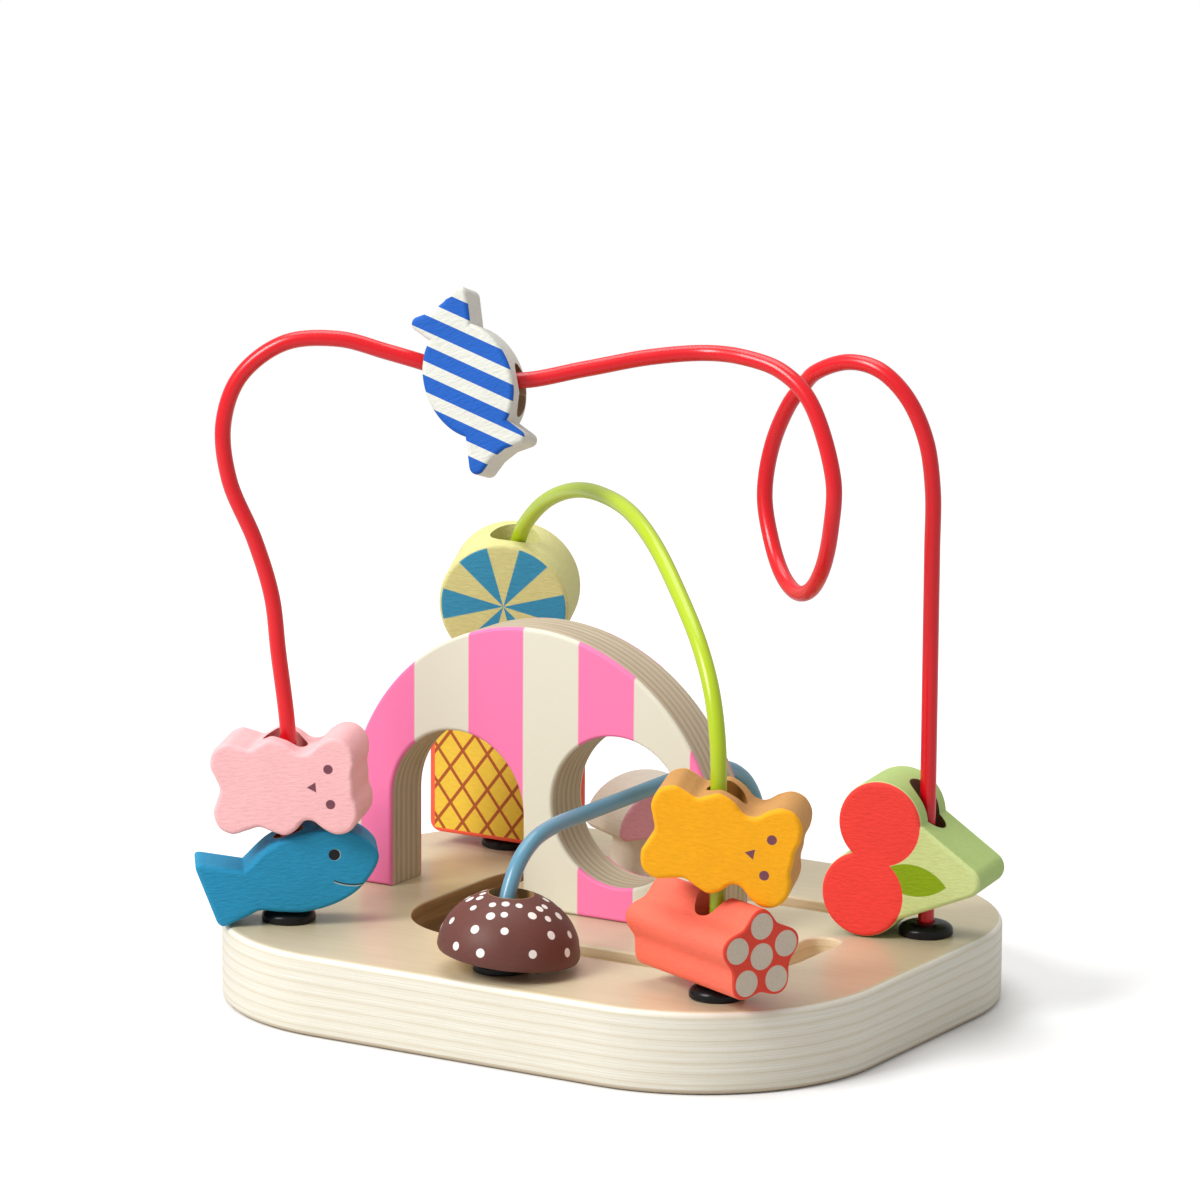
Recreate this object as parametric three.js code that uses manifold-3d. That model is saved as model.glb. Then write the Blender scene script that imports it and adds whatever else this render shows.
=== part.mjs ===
// Wooden bead frame: a board with an arch, three bent wires with beads and one slider in a track.
// Millimetres, +Z up. The origin is the centre of the board's underside, +X along its long side.
import * as THREE from 'three';
import { mergeVertices } from 'three/addons/utils/BufferGeometryUtils.js';
import Module from 'manifold-3d';

const wasm = await Module();
wasm.setup();

// Board
const BOARD_LENGTH = 180;
const BOARD_DEPTH = 152;
const BOARD_THICKNESS = 20.5;
const BOARD_CORNER = 49;
const BOARD_EDGE = 3;

// Track in the board: an open loop of slot with a wider channel below it
const TRACK_WIDTH = 9.2;
const TRACK_TURN = 20.5;
const TRACK_LEFT = -41.4;
const TRACK_RIGHT = 58.2;
const TRACK_FRONT = -35;
const TRACK_BACK = 34.5;
const TRACK_RIGHT_END = 4;
const TRACK_BACK_END = 50;
const CHANNEL_WIDTH = 17;
const CHANNEL_DEPTH = 9;

// Arch panel
const ARCH_CENTRE = -20;
const ARCH_RADIUS = 55;
const ARCH_LEG = 17;
const ARCH_FRONT = -7.3;
const ARCH_THICKNESS = 15;
const ARCH_EDGE = 1;
const TUNNEL_CENTRE = -42;
const TUNNEL_WIDTH = 39.4;
const TUNNEL_HEIGHT = 43;
const WINDOW_CENTRE = 5.4;
const WINDOW_HEIGHT = 28;
const WINDOW_RADIUS = 19.3;

// Screws: countersunk, from below
const SCREW_SHANK = 4;
const SCREW_HEAD = 8;
const SCREW_HEAD_HEIGHT = 3;
const SCREW_SINK = 0.8;
const ARCH_SCREW_BITE = 12;
const ARCH_SCREW_PLACES = { left: -68, middle: -13, right: 27 };

// Wires and the caps on their feet
const WIRE = 4;
const WIRE_SEAT = 14;
const CAP_DIAMETER = 13.6;
const CAP_HEIGHT = 3.2;
const CAP_RIM_SHARE = 0.4;
const CAP_COLLAR = 1;
const RED_LEFT_FOOT = [-65, -49];
const RED_RIGHT_FOOT = [76.2, 24.5];
const GREEN_BACK_FOOT = [-60, 46];
const GREEN_FRONT_FOOT = [62.3, -54.6];
const BLUE_FRONT_FOOT = [WINDOW_CENTRE, -61.5];
const BLUE_BACK_FOOT = [WINDOW_CENTRE, 64.5];
const LOOP_CENTRE = [-29.7, -14.9, 115.5];
const LOOP_REACH = 23.5;
const LOOP_HALF_HEIGHT = 29.5;
const LOOP_AZIMUTH = 51;
const LOOP_FROM = 84;
const LOOP_TO = 252;
const LOOP_STEPS = 7;
const RED_STEPS = 96;
const GREEN_STEPS = 48;
const BLUE_STEPS = 40;

// Beads
const BEAD_BORE = 11;
const BEAD_EDGE = 1;
const BEAR_THICKNESS = 20;
const FISH_THICKNESS = 15;
const CHERRY_THICKNESS = 20;
const CHERRY_RADIUS = 10.8;
const CANDY_THICKNESS = 15;
const CANDY_HALF_WIDTH = 11;
const CANDY_HALF_BODY = 14.8;
const CANDY_HALF_LENGTH = 22.4;
const CANDY_WING = 7.6;
const CANDY_WAIST = 5.5;
const CORAL_LENGTH = 41;
const CORAL_LOBES = 5;
const CORAL_LOBE_RADIUS = 5.3;
const CORAL_LOBE_RING = 6.3;
const DOME_RADIUS = 17.5;
const DOME_HEIGHT = 16;
const WAFFLE_WIDTH = 36;
const WAFFLE_HEIGHT = 45.4;
const WAFFLE_THICKNESS = 20;
const WAFFLE_CORNER = 3;
const WHEEL_DIAMETER = 34;
const WHEEL_THICKNESS = 20;
const WHEEL_BORE = 13;
const WHEEL_LIFT = 0.4;

// Slider in the track
const MUSHROOM_THICKNESS = 20;
const MUSHROOM_CAP_WIDTH = 31;
const MUSHROOM_HEIGHT = 27;
const MUSHROOM_CAP_HEIGHT = 13.5;
const MUSHROOM_STEM_WIDTH = 18;
const MUSHROOM_PLACE = -8;
const MUSHROOM_AZIMUTH = 59;
const MUSHROOM_BRIM = 1.5;
const MUSHROOM_STEM_TAPER = 0.8;
const PEG_SCREW_BITE = 9;
const PEG_DIAMETER = 8;
const PEG_BITE = 8;
const DISC_DIAMETER = 15.5;
const DISC_HEIGHT = 3;

// Clearances
const GLUE_GAP = 0.1;
const FIT_GAP = 0.3;
const REST_GAP = 0.3;
const OVERCUT = 5;

// Steps of round shapes
const ROUND_STEPS = 18;
const WIRE_SIDES = 5;
const CURVE_STEPS = 6;

// Colours
const PLYWOOD = 0xdfcaa6;
const PINK = 0xfc85b7;
const RED = 0xe4202c;
const LIME = 0xc4d620;
const BLUE_GREY = 0x78a5be;
const BLACK = 0x151515;
const STEEL = 0xb4b4b4;

const TURN = Math.PI * 2;
const boardTop = BOARD_THICKNESS;
const capTop = boardTop + GLUE_GAP + CAP_HEIGHT;
const radians = (angle) => THREE.MathUtils.degToRad(angle);

// Solids: between three.js geometry and closed solids that can be cut and joined
function toSolid(geometry) {
  const bare = geometry.clone();
  bare.deleteAttribute('normal');
  bare.deleteAttribute('uv');
  const merged = mergeVertices(bare, 1e-4);
  const mesh = new wasm.Mesh({
    numProp: 3,
    vertProperties: Float32Array.from(merged.attributes.position.array),
    triVerts: Uint32Array.from(merged.index.array),
  });
  return new wasm.Manifold(mesh);
}

function toGeometry(solid) {
  const mesh = solid.getMesh();
  const geometry = new THREE.BufferGeometry();
  geometry.setAttribute('position', new THREE.BufferAttribute(Float32Array.from(mesh.vertProperties), 3));
  geometry.setIndex(new THREE.BufferAttribute(Uint32Array.from(mesh.triVerts), 1));
  geometry.computeVertexNormals();
  return geometry;
}

function cut(geometry, tools) {
  const solid = tools.reduce((body, tool) => body.subtract(toSolid(tool)), toSolid(geometry));
  return toGeometry(solid);
}

function join(geometries) {
  const solid = geometries.slice(1).reduce((body, more) => body.add(toSolid(more)), toSolid(geometries[0]));
  return toGeometry(solid);
}

// An upright cylinder from one height to another
function post(diameter, bottom, top, x = 0, y = 0, sides = ROUND_STEPS) {
  const geometry = new THREE.CylinderGeometry(diameter / 2, diameter / 2, top - bottom, sides);
  geometry.rotateX(Math.PI / 2);
  geometry.translate(x, y, (top + bottom) / 2);
  return geometry;
}

// A shape in the XY plane raised from one height to another, with rounded edges
function slab(shape, bottom, top, edge = 0) {
  const geometry = new THREE.ExtrudeGeometry(shape, {
    depth: top - bottom - 2 * edge,
    bevelEnabled: edge > 0,
    bevelThickness: edge,
    bevelSize: edge,
    bevelOffset: -edge,
    bevelSegments: 2,
    curveSegments: CURVE_STEPS,
  });
  geometry.translate(0, 0, bottom + edge);
  return geometry;
}

// A flat bead: the shape stands upright in XZ, its face looks along -Y
function plate(shape, thickness, edge = BEAD_EDGE) {
  const geometry = slab(shape, -thickness / 2, thickness / 2, edge);
  geometry.rotateX(Math.PI / 2);
  return geometry;
}

function closedCurve(points) {
  const curve = new THREE.SplineCurve(points.concat([points[0]]).map(([x, y]) => new THREE.Vector2(x, y)));
  return new THREE.Shape(curve.getPoints(points.length * 3).slice(0, -1));
}

function roundedRectangle(width, height, radius) {
  const shape = new THREE.Shape();
  const x = width / 2 - radius;
  const y = height / 2 - radius;
  shape.absarc(x, y, radius, 0, TURN / 4);
  shape.absarc(-x, y, radius, TURN / 4, TURN / 2);
  shape.absarc(-x, -y, radius, TURN / 2, TURN * 3 / 4);
  shape.absarc(x, -y, radius, TURN * 3 / 4, TURN);
  return shape;
}

const root = new THREE.Group();

function addPart(name, geometry, color, roughness = 0.55, metalness = 0, parent = root) {
  const material = new THREE.MeshStandardMaterial({ color, roughness, metalness });
  const mesh = new THREE.Mesh(geometry, material);
  mesh.name = name;
  parent.add(mesh);
  return mesh;
}

// A turned holder for a bead: lean about X, turn in the plane of the face, then azimuth about Z
function holder(x, y, z, azimuth, inPlane = 0, lean = 0) {
  const group = new THREE.Group();
  group.position.set(x, y, z);
  group.rotation.set(radians(lean), radians(inPlane), radians(azimuth), 'ZXY');
  root.add(group);
  return group;
}

// Outline of the track at a given width
function trackOutline(width) {
  const half = width / 2;
  const right = TRACK_RIGHT - TRACK_TURN;
  const left = TRACK_LEFT + TRACK_TURN;
  const front = TRACK_FRONT + TRACK_TURN;
  const back = TRACK_BACK - TRACK_TURN;
  const outer = TRACK_TURN + half;
  const inner = TRACK_TURN - half;
  const shape = new THREE.Shape();
  shape.absarc(right, front, outer, 0, -TURN / 4, true);
  shape.absarc(left, front, outer, -TURN / 4, -TURN / 2, true);
  shape.absarc(left, back, outer, TURN / 2, TURN / 4, true);
  shape.absarc(TRACK_BACK_END, TRACK_BACK, half, TURN / 4, -TURN / 4, true);
  shape.absarc(left, back, inner, TURN / 4, TURN / 2);
  shape.absarc(left, front, inner, TURN / 2, TURN * 3 / 4);
  shape.absarc(right, front, inner, -TURN / 4, 0);
  shape.absarc(TRACK_RIGHT, TRACK_RIGHT_END, half, TURN / 2, 0, true);
  return shape;
}

const feet = {
  red_left: RED_LEFT_FOOT,
  red_right: RED_RIGHT_FOOT,
  green_back: GREEN_BACK_FOOT,
  green_front: GREEN_FRONT_FOOT,
  blue_front: BLUE_FRONT_FOOT,
  blue_back: BLUE_BACK_FOOT,
};
const archMiddle = ARCH_FRONT + ARCH_THICKNESS / 2;
const wireHoleBottom = boardTop - WIRE_SEAT - FIT_GAP;

function boardGeometry() {
  const board = slab(
    roundedRectangle(BOARD_LENGTH, BOARD_DEPTH, BOARD_CORNER), 0, boardTop, BOARD_EDGE);
  const tools = [
    slab(trackOutline(TRACK_WIDTH), -OVERCUT, boardTop + OVERCUT),
    slab(trackOutline(CHANNEL_WIDTH), -OVERCUT, CHANNEL_DEPTH),
  ];
  for (const [x, y] of Object.values(feet)) {
    tools.push(post(WIRE + 2 * FIT_GAP, wireHoleBottom, boardTop + OVERCUT, x, y));
  }
  for (const x of Object.values(ARCH_SCREW_PLACES)) {
    tools.push(post(SCREW_SHANK + 2 * FIT_GAP, -OVERCUT, boardTop + OVERCUT, x, archMiddle));
    tools.push(post(SCREW_HEAD + 2 * FIT_GAP, -OVERCUT, SCREW_SINK + SCREW_HEAD_HEIGHT, x, archMiddle));
  }
  return cut(board, tools);
}

// Arch panel: a half round on straight legs, with a tunnel and a round window
const archFoot = boardTop + GLUE_GAP;

function archGeometry() {
  const outline = new THREE.Shape();
  outline.moveTo(ARCH_CENTRE - ARCH_RADIUS, 0);
  const tunnelHalf = TUNNEL_WIDTH / 2;
  outline.lineTo(TUNNEL_CENTRE - tunnelHalf, 0);
  outline.absarc(TUNNEL_CENTRE, TUNNEL_HEIGHT - tunnelHalf, tunnelHalf, TURN / 2, 0, true);
  outline.lineTo(TUNNEL_CENTRE + tunnelHalf, 0);
  outline.lineTo(ARCH_CENTRE + ARCH_RADIUS, 0);
  outline.absarc(ARCH_CENTRE, ARCH_LEG, ARCH_RADIUS, 0, TURN / 2);
  const window = new THREE.Path();
  window.absarc(WINDOW_CENTRE, WINDOW_HEIGHT, WINDOW_RADIUS, 0, TURN, true);
  outline.holes.push(window);
  const panel = plate(outline, ARCH_THICKNESS, ARCH_EDGE);
  panel.translate(0, archMiddle, archFoot);
  const tools = Object.values(ARCH_SCREW_PLACES).map((x) => post(
    SCREW_SHANK + 2 * FIT_GAP, archFoot - OVERCUT, archFoot + ARCH_SCREW_BITE + FIT_GAP, x, archMiddle));
  return cut(panel, tools);
}

// A screw standing on its head, from the head's face at z = bottom to its tip
function screwGeometry(bottom, tip, x, y) {
  const head = SCREW_HEAD / 2;
  const shank = SCREW_SHANK / 2;
  const profile = [[0, bottom], [head, bottom], [shank, bottom + SCREW_HEAD_HEIGHT - FIT_GAP],
    [shank, tip - shank], [0, tip]];
  const geometry = new THREE.LatheGeometry(profile.map(([r, z]) => new THREE.Vector2(r, z)), ROUND_STEPS);
  geometry.rotateX(Math.PI / 2);
  geometry.translate(x, y, 0);
  return geometry;
}

addPart('base_board', boardGeometry(), PLYWOOD, 0.6);
addPart('arch_panel', archGeometry(), PINK, 0.55);
for (const [side, x] of Object.entries(ARCH_SCREW_PLACES)) {
  const screw = screwGeometry(SCREW_SINK, archFoot + ARCH_SCREW_BITE, x, archMiddle);
  addPart(`arch_screw_${side}`, screw, STEEL, 0.3, 1);
}

// Wires: smooth curves through guide points, measured from a foot and up from the board
function above([x, y], offsets) {
  return offsets.map(([dx, dy, height]) => [x + dx, y + dy, boardTop + height]);
}

function leg(foot, heights) {
  return above(foot, heights.map((height) => [0, 0, height]));
}

function wireGeometry(points, steps) {
  const path = new THREE.CatmullRomCurve3(points.map((p) => new THREE.Vector3(...p)));
  const section = new THREE.Shape().absarc(0, 0, WIRE / 2, 0, TURN);
  return new THREE.ExtrudeGeometry(section, {
    steps, extrudePath: path, bevelEnabled: false, curveSegments: WIRE_SIDES,
  });
}

const LEG_UP = [-WIRE_SEAT, 9.5, 29.5, 47.5];
const LEG_DOWN = [...LEG_UP].reverse();

// The loop of the red wire turns once in an upright plane, down on the near side and up on the far side
function loopPoints(foot) {
  const azimuth = radians(LOOP_AZIMUTH);
  const [x, y, height] = LOOP_CENTRE;
  return above(foot, Array.from({ length: LOOP_STEPS + 1 }, (_, i) => {
    const angle = radians(LOOP_FROM + (LOOP_TO - LOOP_FROM) * i / LOOP_STEPS);
    const reach = LOOP_REACH * Math.sin(angle);
    return [
      x + reach * Math.sin(azimuth),
      y - reach * Math.cos(azimuth),
      height + LOOP_HALF_HEIGHT * Math.cos(angle),
    ];
  }));
}

const redPoints = [
  ...leg(RED_LEFT_FOOT, LEG_UP),
  ...above(RED_LEFT_FOOT, [
    [-2.3, -0.8, 68.5], [-3.8, -1.4, 82.5], [-7.5, -3.3, 96.5], [-13, -6.2, 111.5],
    [-14.3, -6.8, 125.5], [-10.6, -4.8, 137.5], [-1, 0.2, 146], [11, 6.4, 147.3], [22.3, 12.3, 144.1],
    [37, 20, 139.7], [50.1, 26.7, 137.7], [65, 34.4, 140.9], [79, 41.7, 144.1], [92, 47, 145.6],
    [103.5, 46.6, 145.5], [114, 45.8, 143.2], [122.2, 44.9, 137],
  ]),
  ...loopPoints(RED_RIGHT_FOOT),
  ...above(RED_RIGHT_FOOT, [
    [-46.1, 0.9, 118.6], [-41.2, 0.7, 129.6], [-37.4, 0.4, 134.4], [-32.7, -1.3, 138.7],
    [-22.7, -2.5, 142.4], [-13.6, -3.2, 141.3], [-6.4, -2.6, 135.3], [-1.9, -0.8, 125], [-0.1, 0, 112.5],
    [0, 0, 97.5],
  ]),
  ...leg(RED_RIGHT_FOOT, [79.5, 59.5, ...LEG_DOWN]),
];
const greenPoints = [
  ...leg(GREEN_BACK_FOOT, LEG_UP),
  ...above(GREEN_BACK_FOOT, [
    [0.8, -0.6, 63.5], [3, -2.4, 75.5], [7.5, -6.1, 85], [15, -12.3, 92], [25.5, -20.9, 98.5],
    [40.5, -33.2, 104.2], [55.2, -45.3, 106.7],
  ]),
  ...above(GREEN_FRONT_FOOT, [
    [-49.9, 41.1, 106.3], [-35.7, 29.4, 101.5], [-21.8, 17.9, 92.5], [-10.8, 8.9, 83],
    [-4.3, 3.6, 73.5], [-1, 0.9, 62.5],
  ]),
  ...leg(GREEN_FRONT_FOOT, LEG_DOWN),
];
const bluePoints = [
  ...leg(BLUE_FRONT_FOOT, [-WIRE_SEAT, 1.5]),
  ...above(BLUE_FRONT_FOOT, [
    [0, 0.7, 9.5], [0, 3.3, 18], [0, 8, 25], [0, 14.5, 29.1], [0, 23.5, 30.9], [0, 41.5, 31.1],
    [0, 61.5, 31.1], [0, 81.5, 31.1],
  ]),
  ...above(BLUE_BACK_FOOT, [
    [0, -27.5, 30.7], [0, -14.5, 27.7], [0, -5.9, 21.9], [0, -1, 13.5],
  ]),
  ...leg(BLUE_BACK_FOOT, [4.5, -WIRE_SEAT]),
];
addPart('red_wire', wireGeometry(redPoints, RED_STEPS), RED, 0.25);
addPart('green_wire', wireGeometry(greenPoints, GREEN_STEPS), LIME, 0.25);
addPart('blue_wire', wireGeometry(bluePoints, BLUE_STEPS), BLUE_GREY, 0.25);

// Foot caps: low black domes round each wire's foot
function capGeometry() {
  const bore = WIRE / 2 + FIT_GAP;
  const rim = CAP_DIAMETER / 2;
  const edge = CAP_HEIGHT * CAP_RIM_SHARE;
  const profile = new THREE.Path();
  profile.moveTo(bore, 0);
  profile.lineTo(rim, 0);
  profile.lineTo(rim, edge);
  profile.quadraticCurveTo(rim, CAP_HEIGHT, bore + CAP_COLLAR, CAP_HEIGHT);
  profile.lineTo(bore, CAP_HEIGHT);
  profile.lineTo(bore, 0);
  const geometry = new THREE.LatheGeometry(profile.getPoints(CURVE_STEPS / 2), ROUND_STEPS);
  geometry.rotateX(Math.PI / 2);
  return geometry;
}

for (const [foot, [x, y]] of Object.entries(feet)) {
  const cap = addPart(`${foot}_cap`, capGeometry(), BLACK, 0.35);
  cap.position.set(x, y, boardTop + GLUE_GAP);
}

// Drill a bead along its own upright axis, at a distance from its middle along the face
function drilled(geometry, reach, shift = 0, diameter = BEAD_BORE) {
  return cut(geometry, [post(diameter, -reach, reach, shift, 0)]);
}

// Bears lying on their side: head to the right, mirrored about their own length
const BEAR_HALF_OUTLINE = [
  [-16.4, 0], [-18.2, 6], [-13.4, 11.5], [-7.6, 10], [-2.6, 12.3], [4.4, 8.3], [10.5, 11], [14.5, 12],
  [18.3, 7.5], [18.4, 0],
];

function bearGeometry(boreShift) {
  const mirrored = BEAR_HALF_OUTLINE.slice(1, -1).reverse().map(([x, y]) => [x, -y]);
  const outline = closedCurve([...BEAR_HALF_OUTLINE, ...mirrored].reverse());
  return drilled(plate(outline, BEAR_THICKNESS), CAP_DIAMETER * 2, boreShift);
}

// Fish: nose to the right and tail low, measured from the wire and from the middle of the body
const FISH_OUTLINE_BODY = [
  [-11.4, 0.2], [-5, 6.2], [0.5, 9], [7.3, 11.1], [14.6, 10.7], [20.3, 7], [22.3, 3.2], [18.3, -4],
  [12.4, -8.2], [4.4, -10.6], [-2, -10.6], [-7.5, -10.2], [-10, -11.4],
];
const FISH_TAIL_LOW = [-17, -15.2];
const FISH_TAIL_HIGH = [-22.6, 1.3];
const FISH_RISE = 11;
const FISH_AZIMUTH = 36;
const fishHeight = capTop + FISH_RISE;

function fishGeometry() {
  const body = new THREE.SplineCurve(FISH_OUTLINE_BODY.map(([x, y]) => new THREE.Vector2(x, y)));
  const points = body.getPoints(36).reverse();
  const shape = new THREE.Shape(points);
  shape.lineTo(...FISH_TAIL_HIGH);
  shape.lineTo(...FISH_TAIL_LOW);
  shape.closePath();
  return drilled(plate(shape, FISH_THICKNESS), CAP_DIAMETER * 2);
}

addPart('fish', fishGeometry(), 0x2a8cb4, 0.6, 0, holder(...RED_LEFT_FOOT, fishHeight, FISH_AZIMUTH));

// Cherries: two round fruits on the left, joined by straight edges to a rounded corner on the right
const CHERRY_UPPER = [-9.2, 18.2];
const CHERRY_LOWER = [-13.4, 0];
const CHERRY_UPPER_JOIN = 3;
const CHERRY_LOWER_JOIN = -33;
const CHERRY_CORNER = [13.2, 5.6];
const CHERRY_CORNER_RADIUS = 4;
const CHERRY_AZIMUTH = 9;

// Angle on a circle where a line from a point outside touches it, on the chosen side of the line
function touchAngle(point, centre, radius, side) {
  const dx = point[0] - centre[0];
  const dy = point[1] - centre[1];
  return Math.atan2(dy, dx) + side * Math.acos(radius / Math.hypot(dx, dy));
}

function pointOnCircle(centre, radius, angle) {
  return [centre[0] + radius * Math.cos(angle), centre[1] + radius * Math.sin(angle)];
}

function cherryShape() {
  const upperJoin = radians(CHERRY_UPPER_JOIN);
  const lowerJoin = radians(CHERRY_LOWER_JOIN);
  const upperPoint = pointOnCircle(CHERRY_UPPER, CHERRY_RADIUS, upperJoin);
  const lowerPoint = pointOnCircle(CHERRY_LOWER, CHERRY_RADIUS, lowerJoin);
  const high = touchAngle(upperPoint, CHERRY_CORNER, CHERRY_CORNER_RADIUS, -1);
  const low = touchAngle(lowerPoint, CHERRY_CORNER, CHERRY_CORNER_RADIUS, 1);
  const between = Math.atan2(CHERRY_UPPER[1] - CHERRY_LOWER[1], CHERRY_UPPER[0] - CHERRY_LOWER[0]);
  const distance = Math.hypot(CHERRY_UPPER[0] - CHERRY_LOWER[0], CHERRY_UPPER[1] - CHERRY_LOWER[1]);
  const notch = Math.acos(distance / 2 / CHERRY_RADIUS);
  const shape = new THREE.Shape();
  shape.absarc(...CHERRY_CORNER, CHERRY_CORNER_RADIUS, high, low, true);
  shape.absarc(...CHERRY_LOWER, CHERRY_RADIUS, lowerJoin, between + notch, true);
  shape.absarc(...CHERRY_UPPER, CHERRY_RADIUS, between + Math.PI - notch, upperJoin, true);
  shape.closePath();
  return new THREE.Shape(shape.getPoints(CURVE_STEPS).reverse());
}

const cherryHeight = boardTop + REST_GAP + CHERRY_RADIUS;
addPart('cherry', drilled(plate(cherryShape(), CHERRY_THICKNESS), CHERRY_RADIUS * 4), 0xc8dc8c, 0.6, 0,
  holder(...RED_RIGHT_FOOT, cherryHeight, CHERRY_AZIMUTH));

// Sweet in its wrapper: an oval body between two flared wings, hung on the red wire
const CANDY_GUIDE = 13;
const CANDY_OFFSET = [3.8, 1.9, -2.6];
const CANDY_AZIMUTH = 18;
const CANDY_IN_PLANE = -24.7;
const CANDY_LEAN = -14;
const CANDY_NOTCH = 4;
const CANDY_TIP_DROP = 3;
const [candyFrom, candyMiddle, candyTo] = redPoints.slice(CANDY_GUIDE - 1, CANDY_GUIDE + 2);
const candyPlace = candyMiddle.map((value, axis) => value + CANDY_OFFSET[axis]);

function candyShape() {
  const shape = new THREE.Shape();
  const waist = CANDY_HALF_BODY * Math.sqrt(1 - (CANDY_WAIST / CANDY_HALF_WIDTH) ** 2);
  const start = Math.atan2(waist / CANDY_HALF_BODY, CANDY_WAIST / CANDY_HALF_WIDTH);
  const notch = CANDY_HALF_LENGTH - CANDY_NOTCH;
  const lowTip = CANDY_HALF_LENGTH - CANDY_TIP_DROP;
  shape.moveTo(CANDY_WING, -lowTip);
  shape.lineTo(CANDY_WAIST, -waist);
  shape.absellipse(0, 0, CANDY_HALF_WIDTH, CANDY_HALF_BODY, -start, start);
  shape.lineTo(CANDY_WING, CANDY_HALF_LENGTH);
  shape.quadraticCurveTo(0, notch, -CANDY_WING, lowTip);
  shape.lineTo(-CANDY_WAIST, waist);
  shape.absellipse(0, 0, CANDY_HALF_WIDTH, CANDY_HALF_BODY, Math.PI - start, Math.PI + start);
  shape.lineTo(-CANDY_WING, -CANDY_HALF_LENGTH);
  shape.quadraticCurveTo(0, -notch, CANDY_WING, -lowTip);
  return new THREE.Shape(shape.getPoints(CURVE_STEPS).slice(0, -1));
}

function candyGeometry(group) {
  const along = new THREE.Vector3(...candyTo).sub(new THREE.Vector3(...candyFrom)).normalize();
  const bore = new THREE.CylinderGeometry(BEAD_BORE / 2, BEAD_BORE / 2, CANDY_HALF_LENGTH * 3, ROUND_STEPS);
  const upright = new THREE.Vector3(0, 1, 0);
  bore.applyQuaternion(new THREE.Quaternion().setFromUnitVectors(upright, along));
  bore.applyQuaternion(group.quaternion.clone().invert());
  return cut(plate(candyShape(), CANDY_THICKNESS), [bore]);
}

const candyHolder = holder(...candyPlace, CANDY_AZIMUTH, CANDY_IN_PLANE, CANDY_LEAN);
addPart('candy', candyGeometry(candyHolder), 0xf0f0e6, 0.6, 0, candyHolder);

// Lobed stick lying on its side over the green wire's front foot
const CORAL_SHIFT = -2.5;
const CORAL_AZIMUTH = 66;
const CORAL_EDGE = 0.8;
const coralRadius = CORAL_LOBE_RING + CORAL_LOBE_RADIUS;
const coralRest = CORAL_LOBE_RING * Math.cos(Math.PI / CORAL_LOBES) + CORAL_LOBE_RADIUS;

function coralGeometry() {
  const lobes = Array.from({ length: CORAL_LOBES }, (_, i) => {
    const angle = TURN * (i / CORAL_LOBES + 0.25);
    const rod = new THREE.Shape();
    const [x, y] = pointOnCircle([0, 0], CORAL_LOBE_RING, angle);
    rod.absarc(x, y, CORAL_LOBE_RADIUS, 0, TURN);
    return plate(rod, CORAL_LENGTH, CORAL_EDGE);
  });
  const heart = new THREE.Shape();
  heart.absarc(0, 0, CORAL_LOBE_RING + CORAL_LOBE_RADIUS / 2, 0, TURN);
  const stick = join([plate(heart, CORAL_LENGTH, CORAL_EDGE), ...lobes]);
  stick.translate(0, -CORAL_SHIFT, 0);
  return drilled(stick, coralRadius * 2);
}

const coralHeight = capTop + REST_GAP + coralRest;
const coralTop = coralHeight + coralRadius;
addPart('coral_tube', coralGeometry(), 0xff6e50, 0.55, 0,
  holder(...GREEN_FRONT_FOOT, coralHeight, CORAL_AZIMUTH));

// The pink bear lies on the fish, the orange bear on the lobed stick
const PINK_BEAR_SHIFT = 0.8;
const PINK_BEAR_RISE = 22.4;
const PINK_BEAR_TURN = -4;
const ORANGE_BEAR_SHIFT = 1.9;
const ORANGE_BEAR_RISE = 14.5;
const ORANGE_BEAR_TURN = 11.4;
const BEAR_AZIMUTH = 22;
const pinkBear = holder(...RED_LEFT_FOOT, fishHeight + PINK_BEAR_RISE, BEAR_AZIMUTH, PINK_BEAR_TURN);
addPart('pink_bear', bearGeometry(-PINK_BEAR_SHIFT), 0xfac4c4, 0.6, 0, pinkBear)
  .position.x = PINK_BEAR_SHIFT;
const orangeBear = holder(...GREEN_FRONT_FOOT, coralTop + ORANGE_BEAR_RISE, BEAR_AZIMUTH, ORANGE_BEAR_TURN);
addPart('orange_bear', bearGeometry(-ORANGE_BEAR_SHIFT), 0xf8b014, 0.6, 0, orangeBear)
  .position.x = ORANGE_BEAR_SHIFT;

// Chocolate dome over the blue wire's front foot
const DOME_SHIFT = 1.8;
const DOME_BACK = 1.4;
const DOME_AZIMUTH = 31;
const DOME_TILT = 6;
const DOME_LIFT = 0.3;

function domeGeometry() {
  const profile = new THREE.Path();
  profile.moveTo(0, 0);
  profile.lineTo(DOME_RADIUS - BEAD_EDGE, 0);
  profile.quadraticCurveTo(DOME_RADIUS, 0, DOME_RADIUS, BEAD_EDGE);
  profile.absellipse(0, BEAD_EDGE, DOME_RADIUS, DOME_HEIGHT - BEAD_EDGE, 0, TURN / 4);
  const points = profile.getPoints(CURVE_STEPS);
  points[points.length - 1].x = 0;
  const geometry = new THREE.LatheGeometry(points, ROUND_STEPS);
  geometry.rotateX(Math.PI / 2);
  return drilled(geometry, DOME_RADIUS * 2, -DOME_SHIFT / 2);
}

const domeHolder = holder(...BLUE_FRONT_FOOT, capTop + REST_GAP + DOME_LIFT, DOME_AZIMUTH, DOME_TILT);
addPart('dome', domeGeometry(), 0x623730, 0.5, 0, domeHolder).position.set(DOME_SHIFT, DOME_BACK, 0);

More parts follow.
